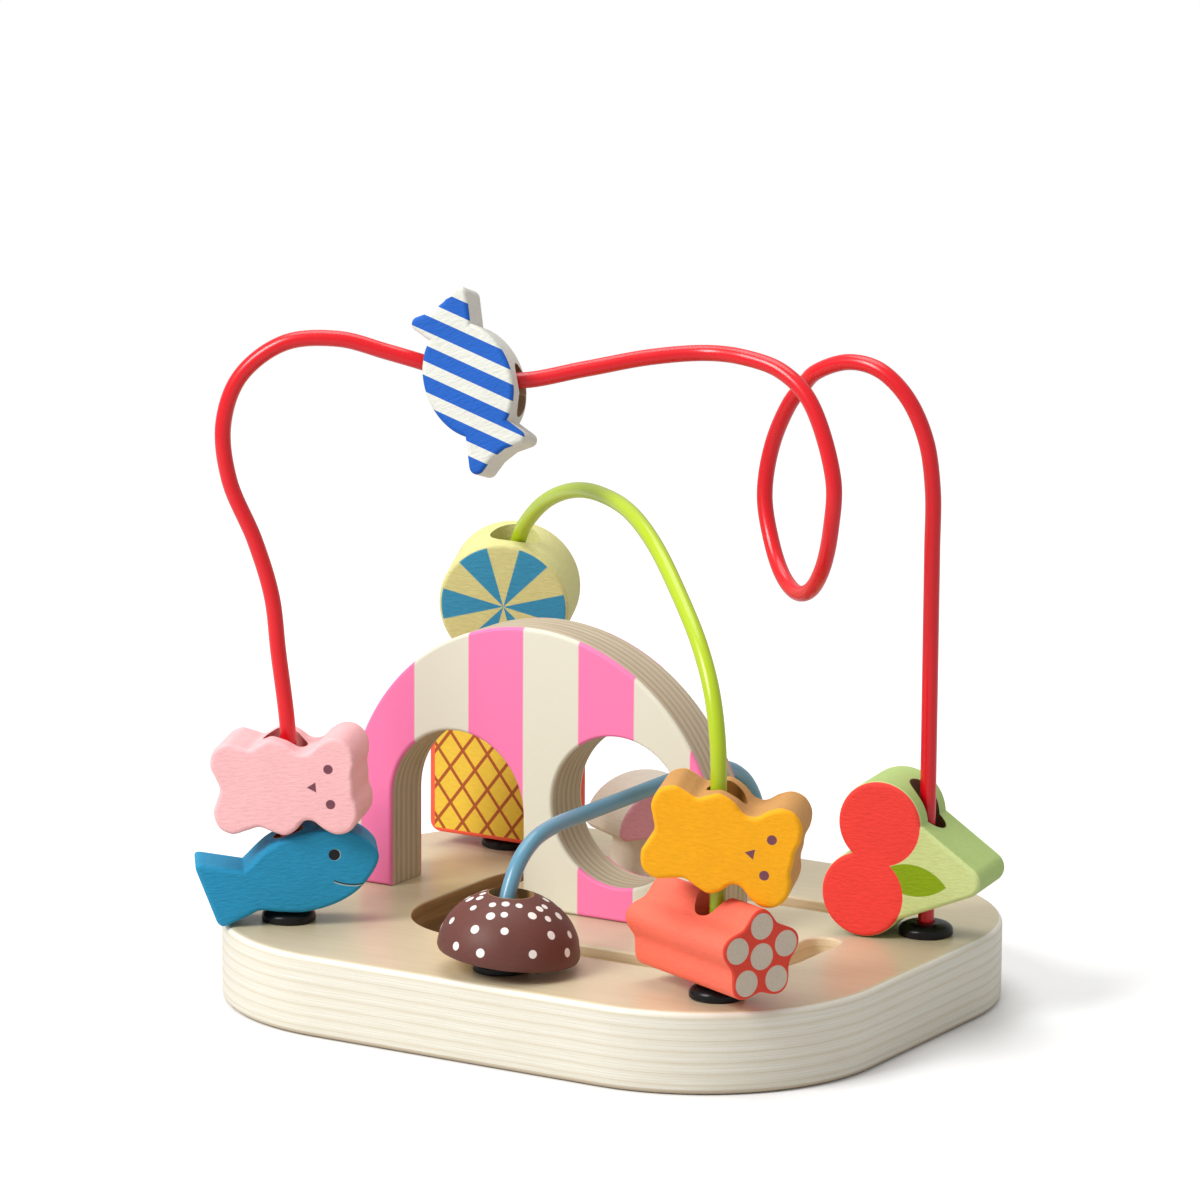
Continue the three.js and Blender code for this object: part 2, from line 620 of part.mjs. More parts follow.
// Waffle and wheel on the green wire's back leg
const waffleTop = capTop + REST_GAP + WAFFLE_HEIGHT;
const waffleShape = roundedRectangle(WAFFLE_WIDTH, WAFFLE_HEIGHT, WAFFLE_CORNER);
addPart('waffle', drilled(plate(waffleShape, WAFFLE_THICKNESS), WAFFLE_HEIGHT), 0xf0cd46, 0.6, 0,
  holder(...GREEN_BACK_FOOT, waffleTop - WAFFLE_HEIGHT / 2, 0));

const WHEEL_SHIFT = 0.8;
const WHEEL_TURN = 6;
const WHEEL_FORWARD = 2;
const WHEEL_AZIMUTH = 22;
const WHEEL_LEAN = 8;
const wheelReach = WHEEL_DIAMETER / 2 * Math.cos(radians(WHEEL_LEAN))
  + WHEEL_THICKNESS / 2 * Math.sin(radians(WHEEL_LEAN));

function wheelGeometry() {
  const disc = new THREE.Shape();
  disc.absarc(0, 0, WHEEL_DIAMETER / 2, 0, TURN);
  return drilled(plate(disc, WHEEL_THICKNESS), WHEEL_DIAMETER, 0, WHEEL_BORE);
}

const wheelHolder = holder(...GREEN_BACK_FOOT, waffleTop + REST_GAP + WHEEL_LIFT + wheelReach,
  WHEEL_AZIMUTH, WHEEL_TURN, WHEEL_LEAN);
addPart('wheel', wheelGeometry(), 0xded48c, 0.6, 0, wheelHolder).position.set(WHEEL_SHIFT, -WHEEL_FORWARD, 0);

// Mushroom slider on the track's back branch, with its peg, retaining disc and screw below
const mushroomFoot = boardTop + REST_GAP;
const discTop = CHANNEL_DEPTH - FIT_GAP;
const discBottom = discTop - DISC_HEIGHT;
const pegBottom = discTop + GLUE_GAP;
const pegTop = mushroomFoot + PEG_BITE;
const sliderScrewBottom = discBottom - SCREW_HEAD_HEIGHT;

function mushroomGeometry() {
  const capHalf = MUSHROOM_CAP_WIDTH / 2;
  const stemHalf = MUSHROOM_STEM_WIDTH / 2;
  const brim = MUSHROOM_HEIGHT - MUSHROOM_CAP_HEIGHT;
  const shape = new THREE.Shape();
  shape.moveTo(-stemHalf, 0);
  shape.lineTo(stemHalf, 0);
  shape.lineTo(stemHalf * MUSHROOM_STEM_TAPER, brim);
  shape.lineTo(capHalf - MUSHROOM_BRIM, brim);
  shape.absellipse(0, brim + MUSHROOM_BRIM, capHalf, MUSHROOM_CAP_HEIGHT - MUSHROOM_BRIM, 0, Math.PI);
  shape.lineTo(-capHalf + MUSHROOM_BRIM, brim);
  shape.lineTo(-stemHalf * MUSHROOM_STEM_TAPER, brim);
  shape.closePath();
  const body = plate(new THREE.Shape(shape.getPoints(CURVE_STEPS)), MUSHROOM_THICKNESS);
  return cut(body, [post(PEG_DIAMETER + 2 * GLUE_GAP, -OVERCUT, PEG_BITE + GLUE_GAP)]);
}

addPart('mushroom', mushroomGeometry(), 0xf2a0bd, 0.6, 0,
  holder(MUSHROOM_PLACE, TRACK_BACK, mushroomFoot, MUSHROOM_AZIMUTH));
const screwTip = pegBottom + PEG_SCREW_BITE;
const pilot = post(SCREW_SHANK + 2 * GLUE_GAP, -OVERCUT, screwTip + FIT_GAP);
const peg = cut(post(PEG_DIAMETER, pegBottom, pegTop), [pilot]);
const disc = cut(post(DISC_DIAMETER, discBottom, discTop), [pilot]);
const sliderScrew = screwGeometry(sliderScrewBottom, screwTip, 0, 0);
addPart('slider_peg', peg, 0xd9b98a, 0.6).position.set(MUSHROOM_PLACE, TRACK_BACK, 0);
addPart('slider_disc', disc, 0xd9b98a, 0.6).position.set(MUSHROOM_PLACE, TRACK_BACK, 0);
addPart('slider_screw', sliderScrew, STEEL, 0.3, 1).position.set(MUSHROOM_PLACE, TRACK_BACK, 0);

export default root;
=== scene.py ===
"""Looks of the wooden bead frame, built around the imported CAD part."""
import math

import bmesh
import bpy
from mathutils import Matrix, Vector
from mathutils.geometry import tessellate_polygon


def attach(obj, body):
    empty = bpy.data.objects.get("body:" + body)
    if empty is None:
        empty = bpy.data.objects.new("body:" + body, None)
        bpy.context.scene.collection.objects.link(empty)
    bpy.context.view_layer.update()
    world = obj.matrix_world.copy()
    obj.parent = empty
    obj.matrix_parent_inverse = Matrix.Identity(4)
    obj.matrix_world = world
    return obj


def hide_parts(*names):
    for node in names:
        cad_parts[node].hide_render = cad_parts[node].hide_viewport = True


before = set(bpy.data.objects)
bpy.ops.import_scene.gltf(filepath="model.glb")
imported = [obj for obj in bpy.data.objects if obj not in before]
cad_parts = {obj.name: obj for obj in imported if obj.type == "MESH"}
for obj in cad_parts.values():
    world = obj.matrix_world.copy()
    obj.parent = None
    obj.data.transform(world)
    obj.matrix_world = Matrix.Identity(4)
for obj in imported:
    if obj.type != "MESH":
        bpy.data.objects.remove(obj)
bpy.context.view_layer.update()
MM = 0.001
scene = bpy.context.scene

# Board and track, in millimetres as in the CAD part
BOARD_LENGTH = 180
BOARD_DEPTH = 152
BOARD_TOP = 20.5
BOARD_CORNER = 49
BOARD_EDGE = 1.8
TRACK_WIDTH = 9.2
TRACK_TURN = 20.5
TRACK_LEFT = -41.4
TRACK_RIGHT = 58.2
TRACK_FRONT = -35
TRACK_BACK = 34.5
TRACK_RIGHT_END = 4
TRACK_BACK_END = 50
CHANNEL_WIDTH = 17
CHANNEL_DEPTH = 9
FIT_GAP = 0.1
REST_GAP = 0.3
CAP_HEIGHT = 3.2
CAP_TOP = BOARD_TOP + FIT_GAP + CAP_HEIGHT
WIRE = 4
WIRE_SEAT = 14

# Arch panel
ARCH_CENTRE = -20
ARCH_RADIUS = 55
ARCH_LEG = 17
ARCH_MIDDLE = 0.2
ARCH_THICKNESS = 15
ARCH_FOOT = BOARD_TOP + FIT_GAP
TUNNEL_CENTRE = -42
TUNNEL_HALF = 19.7
TUNNEL_HEIGHT = 43
WINDOW_CENTRE = 5.4
WINDOW_HEIGHT = 28
WINDOW_RADIUS = 19.3
STRIPE_START = -54.6
STRIPE_WIDTH = 16.2

# Feet of the wires
RED_LEFT = (-65, -49)
RED_RIGHT = (76.2, 24.5)
GREEN_BACK = (-60, 46)
GREEN_FRONT = (62.3, -54.6)
BLUE_FRONT = (WINDOW_CENTRE, -61.5)
BLUE_BACK = (WINDOW_CENTRE, 64.5)

# Beads
BORE = 11
BORE_SKIN = 0.15
THROUGH = 60
BEAD_EDGE = 1.2

# Meshes and surfaces
EVEN = (1.0, 1.0, 1.0)
SAME_POINT = 0.02
SHARPEST_CORNER = 0.45
SPECULAR = 0.25


def linear(red, green, blue):
    """A colour given as 0 to 255 screen values, in the renderer's linear values."""
    values = []
    for channel in (red, green, blue):
        share = channel / 255
        values.append(share / 12.92 if share <= 0.04045 else ((share + 0.055) / 1.055) ** 2.4)
    return (*values, 1.0)


class Paint:
    """A material under construction. Its helpers add nodes and return their outputs."""

    def __init__(self, name):
        self.material = bpy.data.materials.new(name)
        self.material.use_nodes = True
        self.nodes = self.material.node_tree.nodes
        self.links = self.material.node_tree.links
        self.shader = self.nodes["Principled BSDF"]
        coordinates = self.nodes.new("ShaderNodeTexCoord")
        scaled = self.vector("SCALE", coordinates.outputs["Object"])
        scaled.node.inputs["Scale"].default_value = 1000
        self.place = scaled
        parts = self.nodes.new("ShaderNodeSeparateXYZ")
        self.links.new(scaled, parts.inputs[0])
        self.x, self.y, self.z = parts.outputs

    def feed(self, socket, value):
        if isinstance(value, bpy.types.NodeSocket):
            self.links.new(value, socket)
        elif value is not None:
            socket.default_value = value

    def math(self, operation, first, second=None, third=None):
        node = self.nodes.new("ShaderNodeMath")
        node.operation = operation
        for socket, value in zip(node.inputs, (first, second, third)):
            self.feed(socket, value)
        return node.outputs[0]

    def vector(self, operation, first, second=None):
        node = self.nodes.new("ShaderNodeVectorMath")
        node.operation = operation
        self.feed(node.inputs[0], first)
        self.feed(node.inputs[1], second)
        return node.outputs["Value"] if operation in ("DISTANCE", "DOT_PRODUCT") else node.outputs["Vector"]

    def join(self, x, y, z=0.0):
        node = self.nodes.new("ShaderNodeCombineXYZ")
        for socket, value in zip(node.inputs, (x, y, z)):
            self.feed(socket, value)
        return node.outputs[0]

    def above(self, value, limit, soft=0.12):
        """1 where the value is over the limit, with a soft edge."""
        node = self.nodes.new("ShaderNodeMapRange")
        self.feed(node.inputs["Value"], value)
        node.inputs["From Min"].default_value = limit - soft / 2
        node.inputs["From Max"].default_value = limit + soft / 2
        return node.outputs[0]

    def below(self, value, limit, soft=0.12):
        return self.math("SUBTRACT", 1.0, self.above(value, limit, soft))

    def both(self, *masks):
        result = masks[0]
        for mask in masks[1:]:
            result = self.math("MULTIPLY", result, mask)
        return result

    def either(self, *masks):
        result = masks[0]
        for mask in masks[1:]:
            result = self.math("MAXIMUM", result, mask)
        return result

    def disc(self, plane, centre, radius, soft=0.12):
        distance = self.vector("DISTANCE", plane, (*centre, 0.0))
        return self.below(distance, radius, soft)

    def side(self, plane, start, end, soft=0.12):
        """1 on the left of the line from start to end."""
        dx = end[0] - start[0]
        dy = end[1] - start[1]
        length = math.hypot(dx, dy)
        normal = (-dy / length, dx / length, 0.0)
        offset = normal[0] * start[0] + normal[1] * start[1]
        return self.above(self.vector("DOT_PRODUCT", plane, normal), offset, soft)

    def noise(self, stretch, scale, detail=4.0, roughness=0.6):
        """Noise on the object's own millimetres, stretched along an axis."""
        node = self.nodes.new("ShaderNodeTexNoise")
        self.feed(node.inputs["Vector"], self.vector("MULTIPLY", self.place, stretch))
        node.inputs["Scale"].default_value = scale
        node.inputs["Detail"].default_value = detail
        node.inputs["Roughness"].default_value = roughness
        return node.outputs[0]

    def mix(self, mask, first, second):
        node = self.nodes.new("ShaderNodeMix")
        node.data_type = "RGBA"
        self.feed(node.inputs[0], mask)
        self.feed(node.inputs[6], first)
        self.feed(node.inputs[7], second)
        return node.outputs[2]

    def shade(self, color, amount, low, high):
        """The colour darkened and lightened by a 0 to 1 amount."""
        node = self.nodes.new("ShaderNodeMapRange")
        self.feed(node.inputs["Value"], amount)
        node.inputs["To Min"].default_value = low
        node.inputs["To Max"].default_value = high
        scaled = self.nodes.new("ShaderNodeVectorMath")
        scaled.operation = "SCALE"
        self.feed(scaled.inputs[0], color if isinstance(color, bpy.types.NodeSocket) else color[:3])
        self.feed(scaled.inputs["Scale"], node.outputs[0])
        return scaled.outputs["Vector"]

    def finish(self, color, roughness, height, depth, coat=0.0, coat_roughness=0.2, metallic=0.0):
        self.feed(self.shader.inputs["Base Color"], color)
        self.feed(self.shader.inputs["Roughness"], roughness)
        self.shader.inputs["Metallic"].default_value = metallic
        self.shader.inputs["Specular IOR Level"].default_value = SPECULAR
        self.shader.inputs["Coat Weight"].default_value = coat
        self.shader.inputs["Coat Roughness"].default_value = coat_roughness
        bump = self.nodes.new("ShaderNodeBump")
        bump.inputs["Strength"].default_value = 1.0
        bump.inputs["Distance"].default_value = depth * MM
        self.feed(bump.inputs["Height"], height)
        self.links.new(bump.outputs[0], self.shader.inputs["Normal"])
        return self.material


BARE_WOOD = linear(205, 165, 112)
BARE_DARK = linear(168, 122, 76)


def bare_wood(paint, along):
    """Plain wood with its grain along an axis."""
    stretch = [1.0, 1.0, 1.0]
    stretch[along] = 0.08
    grain = paint.noise(stretch, 1.6)
    return paint.mix(grain, BARE_DARK, BARE_WOOD)


def painted(name, color_of, thickness, bore=None, bore_color=None, grain_axis=0, gloss=0.45, bumps=0.3):
    """Painted wood: color_of gives the printed colour, worn edges show the wood, and the bore shows the wood
    darkened as painted shade unless a bore colour is given.
    """
    paint = Paint(name)
    plane = paint.join(paint.x, paint.z)
    color = color_of(paint, plane)
    stretch = [1.0, 1.0, 1.0]
    stretch[grain_axis] = 0.3
    pores = paint.noise(stretch, 1.5, 5.0, 0.7)
    blotch = paint.noise(EVEN, 0.09, 2.0)
    color = paint.shade(color, pores, 0.82, 1.16)
    color = paint.shade(color, blotch, 0.94, 1.06)
    depth = paint.math("ABSOLUTE", paint.y)
    near_face = paint.above(depth, thickness / 2 - 0.9, 0.3)
    rim = paint.both(near_face, paint.below(depth, thickness / 2 - 0.12, 0.1))
    chips = paint.above(paint.noise(EVEN, 0.7, 6.0, 0.75), 0.71, 0.03)
    color = paint.mix(paint.both(rim, chips), color, BARE_DARK)
    if bore:
        shift, diameter = bore
        inside = paint.disc(paint.join(paint.x, paint.y), (shift, 0.0), diameter / 2 + BORE_SKIN, 0.2)
        # Inside the bore the bare wood is darkened to three quarters: painted shade in the hole.
        wall = bore_color or paint.shade(bare_wood(paint, grain_axis), 0.5, 0.75, 0.75)
        color = paint.mix(inside, color, wall)
    roughness = paint.math("MULTIPLY_ADD", pores, 0.2, gloss)
    return paint.finish(color, roughness, pores, bumps)


def front_face(paint, thickness, depth=1.0):
    """1 on the front of a bead."""
    return paint.below(paint.y, -thickness / 2 + depth, 0.3)


def both_faces(paint, thickness, depth, soft=0.3):
    """1 on the front and the back of a bead."""
    return paint.above(paint.math("ABSOLUTE", paint.y), thickness / 2 - depth, soft)


# Meshes


def place_object(name, mesh, matrix, material, body, node):
    """A piece in the row frame that stands for a CAD node and moves with its body."""
    piece = bpy.data.objects.new(name, mesh)
    piece.matrix_world = matrix
    scene.collection.objects.link(piece)
    mesh.materials.append(material)
    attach(piece, body)
    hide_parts(node)
    return piece


def smooth(mesh, angle=32):
    mesh.shade_smooth()
    mesh.set_sharp_from_angle(angle=math.radians(angle))


def inset(points, distance):
    """A closed loop moved to its left by a distance."""
    moved = []
    count = len(points)
    for i in range(count):
        before = points[i] - points[i - 1]
        after = points[(i + 1) % count] - points[i]
        first = Vector((-before.y, before.x)).normalized()
        second = Vector((-after.y, after.x)).normalized()
        middle = (first + second).normalized()
        moved.append(points[i] + middle * (distance / max(SHARPEST_CORNER, middle.dot(first))))
    return moved


def clean_loop(points, clockwise=False):
    """The loop without repeated points, turning the wanted way."""
    loop = [Vector(points[0])]
    for point in points[1:]:
        if (Vector(point) - loop[-1]).length > SAME_POINT:
            loop.append(Vector(point))
    if (loop[0] - loop[-1]).length <= SAME_POINT:
        loop.pop()
    area = sum(a.x * b.y - b.x * a.y for a, b in zip(loop, loop[1:] + loop[:1]))
    if (area < 0) != clockwise:
        loop.reverse()
    return loop


def plate_mesh(name, outline, thickness, edge, holes=(), hole_edge=0.4, steps=5, lying=False):
    """A flat piece with rounded edges. Its face looks along -Y, or up if it lies."""
    loops = [(clean_loop(outline), edge)] + [(clean_loop(hole, True), hole_edge) for hole in holes]
    profile = []
    for step in range(steps + 1):
        turn = math.pi / 2 * step / steps
        profile.append((1 - math.sin(turn), 1 - math.cos(turn)))
    mesh_points = []
    faces = []
    fronts = []
    backs = []
    for loop, radius in loops:
        count = len(loop)
        rings = []
        for sign in (-1, 1):
            for share_in, share_deep in (profile if sign < 0 else profile[::-1]):
                ring = len(mesh_points)
                depth = sign * (thickness / 2 - radius * share_deep)
                for point in inset(loop, radius * share_in):
                    mesh_points.append((point.x * MM, depth * MM, point.y * MM))
                rings.append(ring)
        for ring, following in zip(rings, rings[1:]):
            for i in range(count):
                j = (i + 1) % count
                faces.append((ring + i, following + i, following + j, ring + j))
        fronts.append(range(rings[0], rings[0] + count))
        backs.append(range(rings[-1], rings[-1] + count))
    for side in (fronts, backs):
        polygons = [[Vector((mesh_points[i][0], mesh_points[i][2], 0)) for i in indices] for indices in side]
        flat = [i for indices in side for i in indices]
        for triangle in tessellate_polygon(polygons):
            faces.append(tuple(flat[i] for i in triangle))
    mesh = bpy.data.meshes.new(name)
    mesh.from_pydata(mesh_points, [], faces)
    tidy = bmesh.new()
    tidy.from_mesh(mesh)
    if lying:
        bmesh.ops.rotate(tidy, verts=tidy.verts, matrix=Matrix.Rotation(-math.pi / 2, 3, "X"))
    bmesh.ops.recalc_face_normals(tidy, faces=tidy.faces)
    tidy.to_mesh(mesh)
    tidy.free()
    smooth(mesh)
    return mesh


def lathe_mesh(name, profile, steps=72):
    """A closed turned piece about Z from (radius, height) points."""
    mesh_points = []
    faces = []
    count = len(profile)
    for step in range(steps):
        angle = 2 * math.pi * step / steps
        for radius, height in profile:
            mesh_points.append((radius * math.cos(angle) * MM, radius * math.sin(angle) * MM, height * MM))
    for step in range(steps):
        start = step * count
        other = (step + 1) % steps * count
        for i in range(count):
            j = (i + 1) % count
            faces.append((start + i, other + i, other + j, start + j))
    mesh = bpy.data.meshes.new(name)
    mesh.from_pydata(mesh_points, [], faces)
    tidy = bmesh.new()
    tidy.from_mesh(mesh)
    bmesh.ops.remove_doubles(tidy, verts=tidy.verts, dist=1e-6)
    bmesh.ops.dissolve_degenerate(tidy, edges=tidy.edges, dist=1e-7)
    bmesh.ops.recalc_face_normals(tidy, faces=tidy.faces)
    tidy.to_mesh(mesh)
    tidy.free()
    smooth(mesh)
    return mesh


def cylinder_mesh(diameter, bottom, top, x=0.0, y=0.0):
    radius = diameter / 2
    mesh = lathe_mesh("cutter", [(0, bottom), (radius, bottom), (radius, top), (0, top)], 48)
    mesh.transform(Matrix.Translation((x * MM, y * MM, 0)))
    return mesh


def cut_mesh(mesh, cutters):
    """The mesh with the cutter meshes taken away."""
    body = bpy.data.objects.new("body", mesh)
    scene.collection.objects.link(body)
    tools = []
    for cutter in cutters:
        tool = bpy.data.objects.new("tool", cutter)
        scene.collection.objects.link(tool)
        tools.append(tool)
        modifier = body.modifiers.new("cut", "BOOLEAN")
        modifier.operation = "DIFFERENCE"
        modifier.solver = "EXACT"
        modifier.object = tool
    bpy.context.view_layer.update()
    evaluated = body.evaluated_get(bpy.context.evaluated_depsgraph_get())
    result = bpy.data.meshes.new_from_object(evaluated)
    result.name = mesh.name
    for leftover in [body, *tools]:
        bpy.data.objects.remove(leftover)
    smooth(result)
    return result


def keep_faces_flat(piece):
    """Shading that leaves the large flat faces flat and the rounded edges soft."""
    modifier = piece.modifiers.new("flat faces", "WEIGHTED_NORMAL")
    modifier.keep_sharp = True
    modifier.weight = 60


def arc(centre, radius, start, end, steps=24):
    points = []
    for step in range(steps + 1):
        angle = math.radians(start + (end - start) * step / steps)
        points.append((centre[0] + radius * math.cos(angle), centre[1] + radius * math.sin(angle)))
    return points


def rounded_rectangle(width, height, radius, steps=24):
    x = width / 2 - radius
    y = height / 2 - radius
    points = []
    for quarter, (sx, sy) in enumerate(((1, 1), (-1, 1), (-1, -1), (1, -1))):
        points += arc((sx * x, sy * y), radius, 90 * quarter, 90 * quarter + 90, steps)
    return points


def soft_corner(before, corner, after, reach=2.4, steps=6):
    """A rounded corner between two straight sides."""
    middle = Vector(corner)
    start = middle + (Vector(before) - middle).normalized() * reach
    end = middle + (Vector(after) - middle).normalized() * reach
    curve = []
    for step in range(steps + 1):
        t = step / steps
        curve.append(tuple(start * (1 - t) ** 2 + middle * 2 * t * (1 - t) + end * t ** 2))
    return curve


def round_curve(points, steps=8):
    """A smooth closed curve through points."""
    count = len(points)
    curve = []
    for i in range(count):
        before, start, end, after = (Vector(points[(i + k) % count]) for k in (-1, 0, 1, 2))
        for step in range(steps):
            t = step / steps
            first = 2 * start + (end - before) * t
            second = (2 * before - 5 * start + 4 * end - after) * t ** 2
            third = (3 * start - before - 3 * end + after) * t ** 3
            curve.append((first + second + third) / 2)
    return curve


def open_curve(points, steps=8):
    """A smooth open curve through points, its ends reached straight."""
    full = [2 * Vector(points[0]) - Vector(points[1])]
    full += [Vector(point) for point in points]
    full.append(2 * Vector(points[-1]) - Vector(points[-2]))
    curve = []
    for before, start, end, after in zip(full, full[1:], full[2:], full[3:]):
        gap0 = max((start - before).length, 1e-6) ** 0.5
        gap1 = max((end - start).length, 1e-6) ** 0.5
        gap2 = max((after - end).length, 1e-6) ** 0.5
        out = ((start - before) / gap0 - (end - before) / (gap0 + gap1) + (end - start) / gap1) * gap1
        into = ((end - start) / gap1 - (after - start) / (gap1 + gap2) + (after - end) / gap2) * gap1
        for step in range(steps):
            t = step / steps
            curve.append(start + out * t + (3 * (end - start) - 2 * out - into) * t ** 2
                         + (2 * (start - end) + out + into) * t ** 3)
    curve.append(full[-2])
    return curve


def holder(foot, height, azimuth, in_plane=0.0, lean=0.0, shift=(0.0, 0.0, 0.0)):
    """The place of a piece over a foot, turned, leaned back and tilted in its own plane."""
    turned = Matrix.Rotation(math.radians(azimuth), 4, "Z") @ Matrix.Rotation(math.radians(lean), 4, "X")
    turned = turned @ Matrix.Rotation(math.radians(in_plane), 4, "Y")
    placed = Matrix.Translation(Vector((foot[0], foot[1], height)) * MM) @ turned
    return placed @ Matrix.Translation(Vector(shift) * MM)


# Board: birch plywood with a veneer on top, layers at every cut side
BOARD_LAYERS = 15
GROOVE_LAYERS = 9
GROOVE_REACH_X = 66.0
GROOVE_REACH_Y = 45.0
# Where the painted light on the groove walls starts along x, and how softly it blends in
PAINTED_LIGHT_GROOVE_FROM = -18.0
PAINTED_LIGHT_GROOVE_BLEND = 14.0
TRACK_EDGE = 0.6
CUTTER_HEIGHT = 20
ARCH_SCREWS = (-68, -13, 27)
SCREW_HOLE = 8.6
SCREW_HOLE_TOP = 3.8
BELOW_BOARD = -5
GLUE_COLOR = linear(186, 160, 122)


def ply_color(paint, depth, thickness, layers, light, dark, streak_stretch):
    """Alternate layers across the thickness, with fine end grain and thin glue lines."""
    wander = paint.noise((0.02, 0.02, 0.02), 1.0, 2.0)
    level = paint.math("MULTIPLY_ADD", wander, 0.5, depth)
    count = paint.math("MULTIPLY", level, layers / thickness)
    share = paint.math("FRACT", count)
    odd = paint.math("PINGPONG", count, 1.0)
    streaks = paint.noise(streak_stretch, 1.3, 5.0, 0.75)
    fibres = paint.noise(EVEN, 1.2, 6.0, 0.75)
    tone = paint.math("MULTIPLY_ADD", odd, 0.4, paint.math("MULTIPLY_ADD", streaks, 1.4, -0.4))
    color = paint.mix(tone, dark, light)
    glue = paint.both(paint.below(share, 0.1, 0.1), paint.above(streaks, 0.47, 0.2))
    color = paint.mix(paint.math("MULTIPLY", glue, 0.45), color, GLUE_COLOR)
    return paint.shade(color, fibres, 0.94, 1.05), fibres


def board_material():
    paint = Paint("board_plywood")
    along = (0.03, 0.03, 2.0)

    def layers(count, light, dark):
        return ply_color(paint, paint.z, BOARD_TOP, count, light, dark, along)

    sides, fibres = layers(BOARD_LAYERS, linear(244, 242, 232), linear(217, 206, 179))
    # The groove walls come as a darker, shaded copy and a lighter copy of the same layers; the lighter copy
    # towards the right is painted light, where the walls face the key light.
    shaded = layers(GROOVE_LAYERS, linear(222, 184, 128), linear(146, 104, 56))[0]
    painted_light_groove = layers(GROOVE_LAYERS, linear(250, 234, 202), linear(224, 196, 150))[0]
    routed = paint.mix(paint.above(paint.x, PAINTED_LIGHT_GROOVE_FROM, PAINTED_LIGHT_GROOVE_BLEND), shaded, painted_light_groove)
    near_x = paint.below(paint.math("ABSOLUTE", paint.x), GROOVE_REACH_X)
    near_y = paint.below(paint.math("ABSOLUTE", paint.y), GROOVE_REACH_Y)
    sides = paint.mix(paint.both(near_x, near_y), sides, routed)
    lowest = paint.below(paint.z, 1.3, 0.4)
    sides = paint.mix(paint.math("MULTIPLY", lowest, 0.6), sides, linear(212, 186, 148))
    grain = paint.noise((0.05, 1.0, 1.0), 1.1, 6.0, 0.7)
    clouds = paint.noise((0.3, 1.0, 1.0), 0.05, 2.0)
    veneer = paint.mix(grain, linear(196, 180, 146), linear(221, 208, 176))
    veneer = paint.shade(veneer, clouds, 0.92, 1.07)
    top = paint.above(paint.z, BOARD_TOP - 0.25, 0.2)
    color = paint.mix(top, sides, veneer)
    roughness = paint.math("MULTIPLY_ADD", top, -0.22, 0.6)
    relief = paint.math("ADD", fibres, grain)
    return paint.finish(color, roughness, relief, 0.03, coat=0.45, coat_roughness=0.26)


def track_outline(width):
    half = width / 2
    right = TRACK_RIGHT - TRACK_TURN
    left = TRACK_LEFT + TRACK_TURN
    front = TRACK_FRONT + TRACK_TURN
    back = TRACK_BACK - TRACK_TURN
    outer = TRACK_TURN + half
    inner = TRACK_TURN - half
    points = arc((right, front), outer, 0, -90)
    points += arc((left, front), outer, -90, -180)
    points += arc((left, back), outer, 180, 90)
    points += arc((TRACK_BACK_END, TRACK_BACK), half, 90, -90)
    points += arc((left, back), inner, 90, 180)
    points += arc((left, front), inner, 180, 270)
    points += arc((right, front), inner, -90, 0)
    points += arc((TRACK_RIGHT, TRACK_RIGHT_END), half, 180, 0)
    return points


board_outline = rounded_rectangle(BOARD_LENGTH, BOARD_DEPTH, BOARD_CORNER)
board = plate_mesh("base_board", board_outline, BOARD_TOP, BOARD_EDGE,
                   [track_outline(TRACK_WIDTH)], TRACK_EDGE, lying=True)
board.transform(Matrix.Translation((0, 0, BOARD_TOP / 2 * MM)))
channel = plate_mesh("cutter", track_outline(CHANNEL_WIDTH), CUTTER_HEIGHT, 0.01, steps=1, lying=True)
channel.transform(Matrix.Translation((0, 0, (CHANNEL_DEPTH - CUTTER_HEIGHT / 2) * MM)))
screw_holes = [cylinder_mesh(SCREW_HOLE, BELOW_BOARD, SCREW_HOLE_TOP, x, ARCH_MIDDLE) for x in ARCH_SCREWS]
board = cut_mesh(board, [channel, *screw_holes])
board_piece = place_object("board", board, Matrix.Identity(4), board_material(),
                           "frame", "base_board")
keep_faces_flat(board_piece)


# Arch: painted stripes on both faces, plywood layers on the cut sides
ARCH_LAYERS = 13
ARCH_EDGE = 1.0
WINDOW_EDGE = 0.8


def arch_material():
    paint = Paint("arch_stripes")
    light = linear(218, 206, 184)
    dark = linear(154, 132, 98)
    sides, fibres = ply_color(paint, paint.y, ARCH_THICKNESS, ARCH_LAYERS, light, dark, (0.03, 2.0, 0.03))
    position = paint.math("MULTIPLY", paint.math("SUBTRACT", paint.x, STRIPE_START), 1 / STRIPE_WIDTH)
    stripe = paint.above(paint.math("PINGPONG", paint.math("SUBTRACT", position, 0.5), 1.0), 0.5, 0.02)
    pink = linear(248, 126, 176)
    cream = linear(224, 220, 201)
    pores = paint.noise((1.0, 1.0, 0.2), 2.4, 5.0, 0.7)
    face = paint.shade(paint.mix(stripe, cream, pink), pores, 0.96, 1.03)
    ragged = paint.math("MULTIPLY", pores, 0.5)
    depth = paint.math("ADD", paint.math("ABSOLUTE", paint.y), ragged)
    coated = paint.above(depth, ARCH_THICKNESS / 2 - 0.75, 0.25)
    color = paint.mix(coated, sides, face)
    roughness = paint.math("MULTIPLY_ADD", coated, -0.1, 0.62)
    return paint.finish(color, roughness, paint.math("ADD", fibres, pores), 0.03)


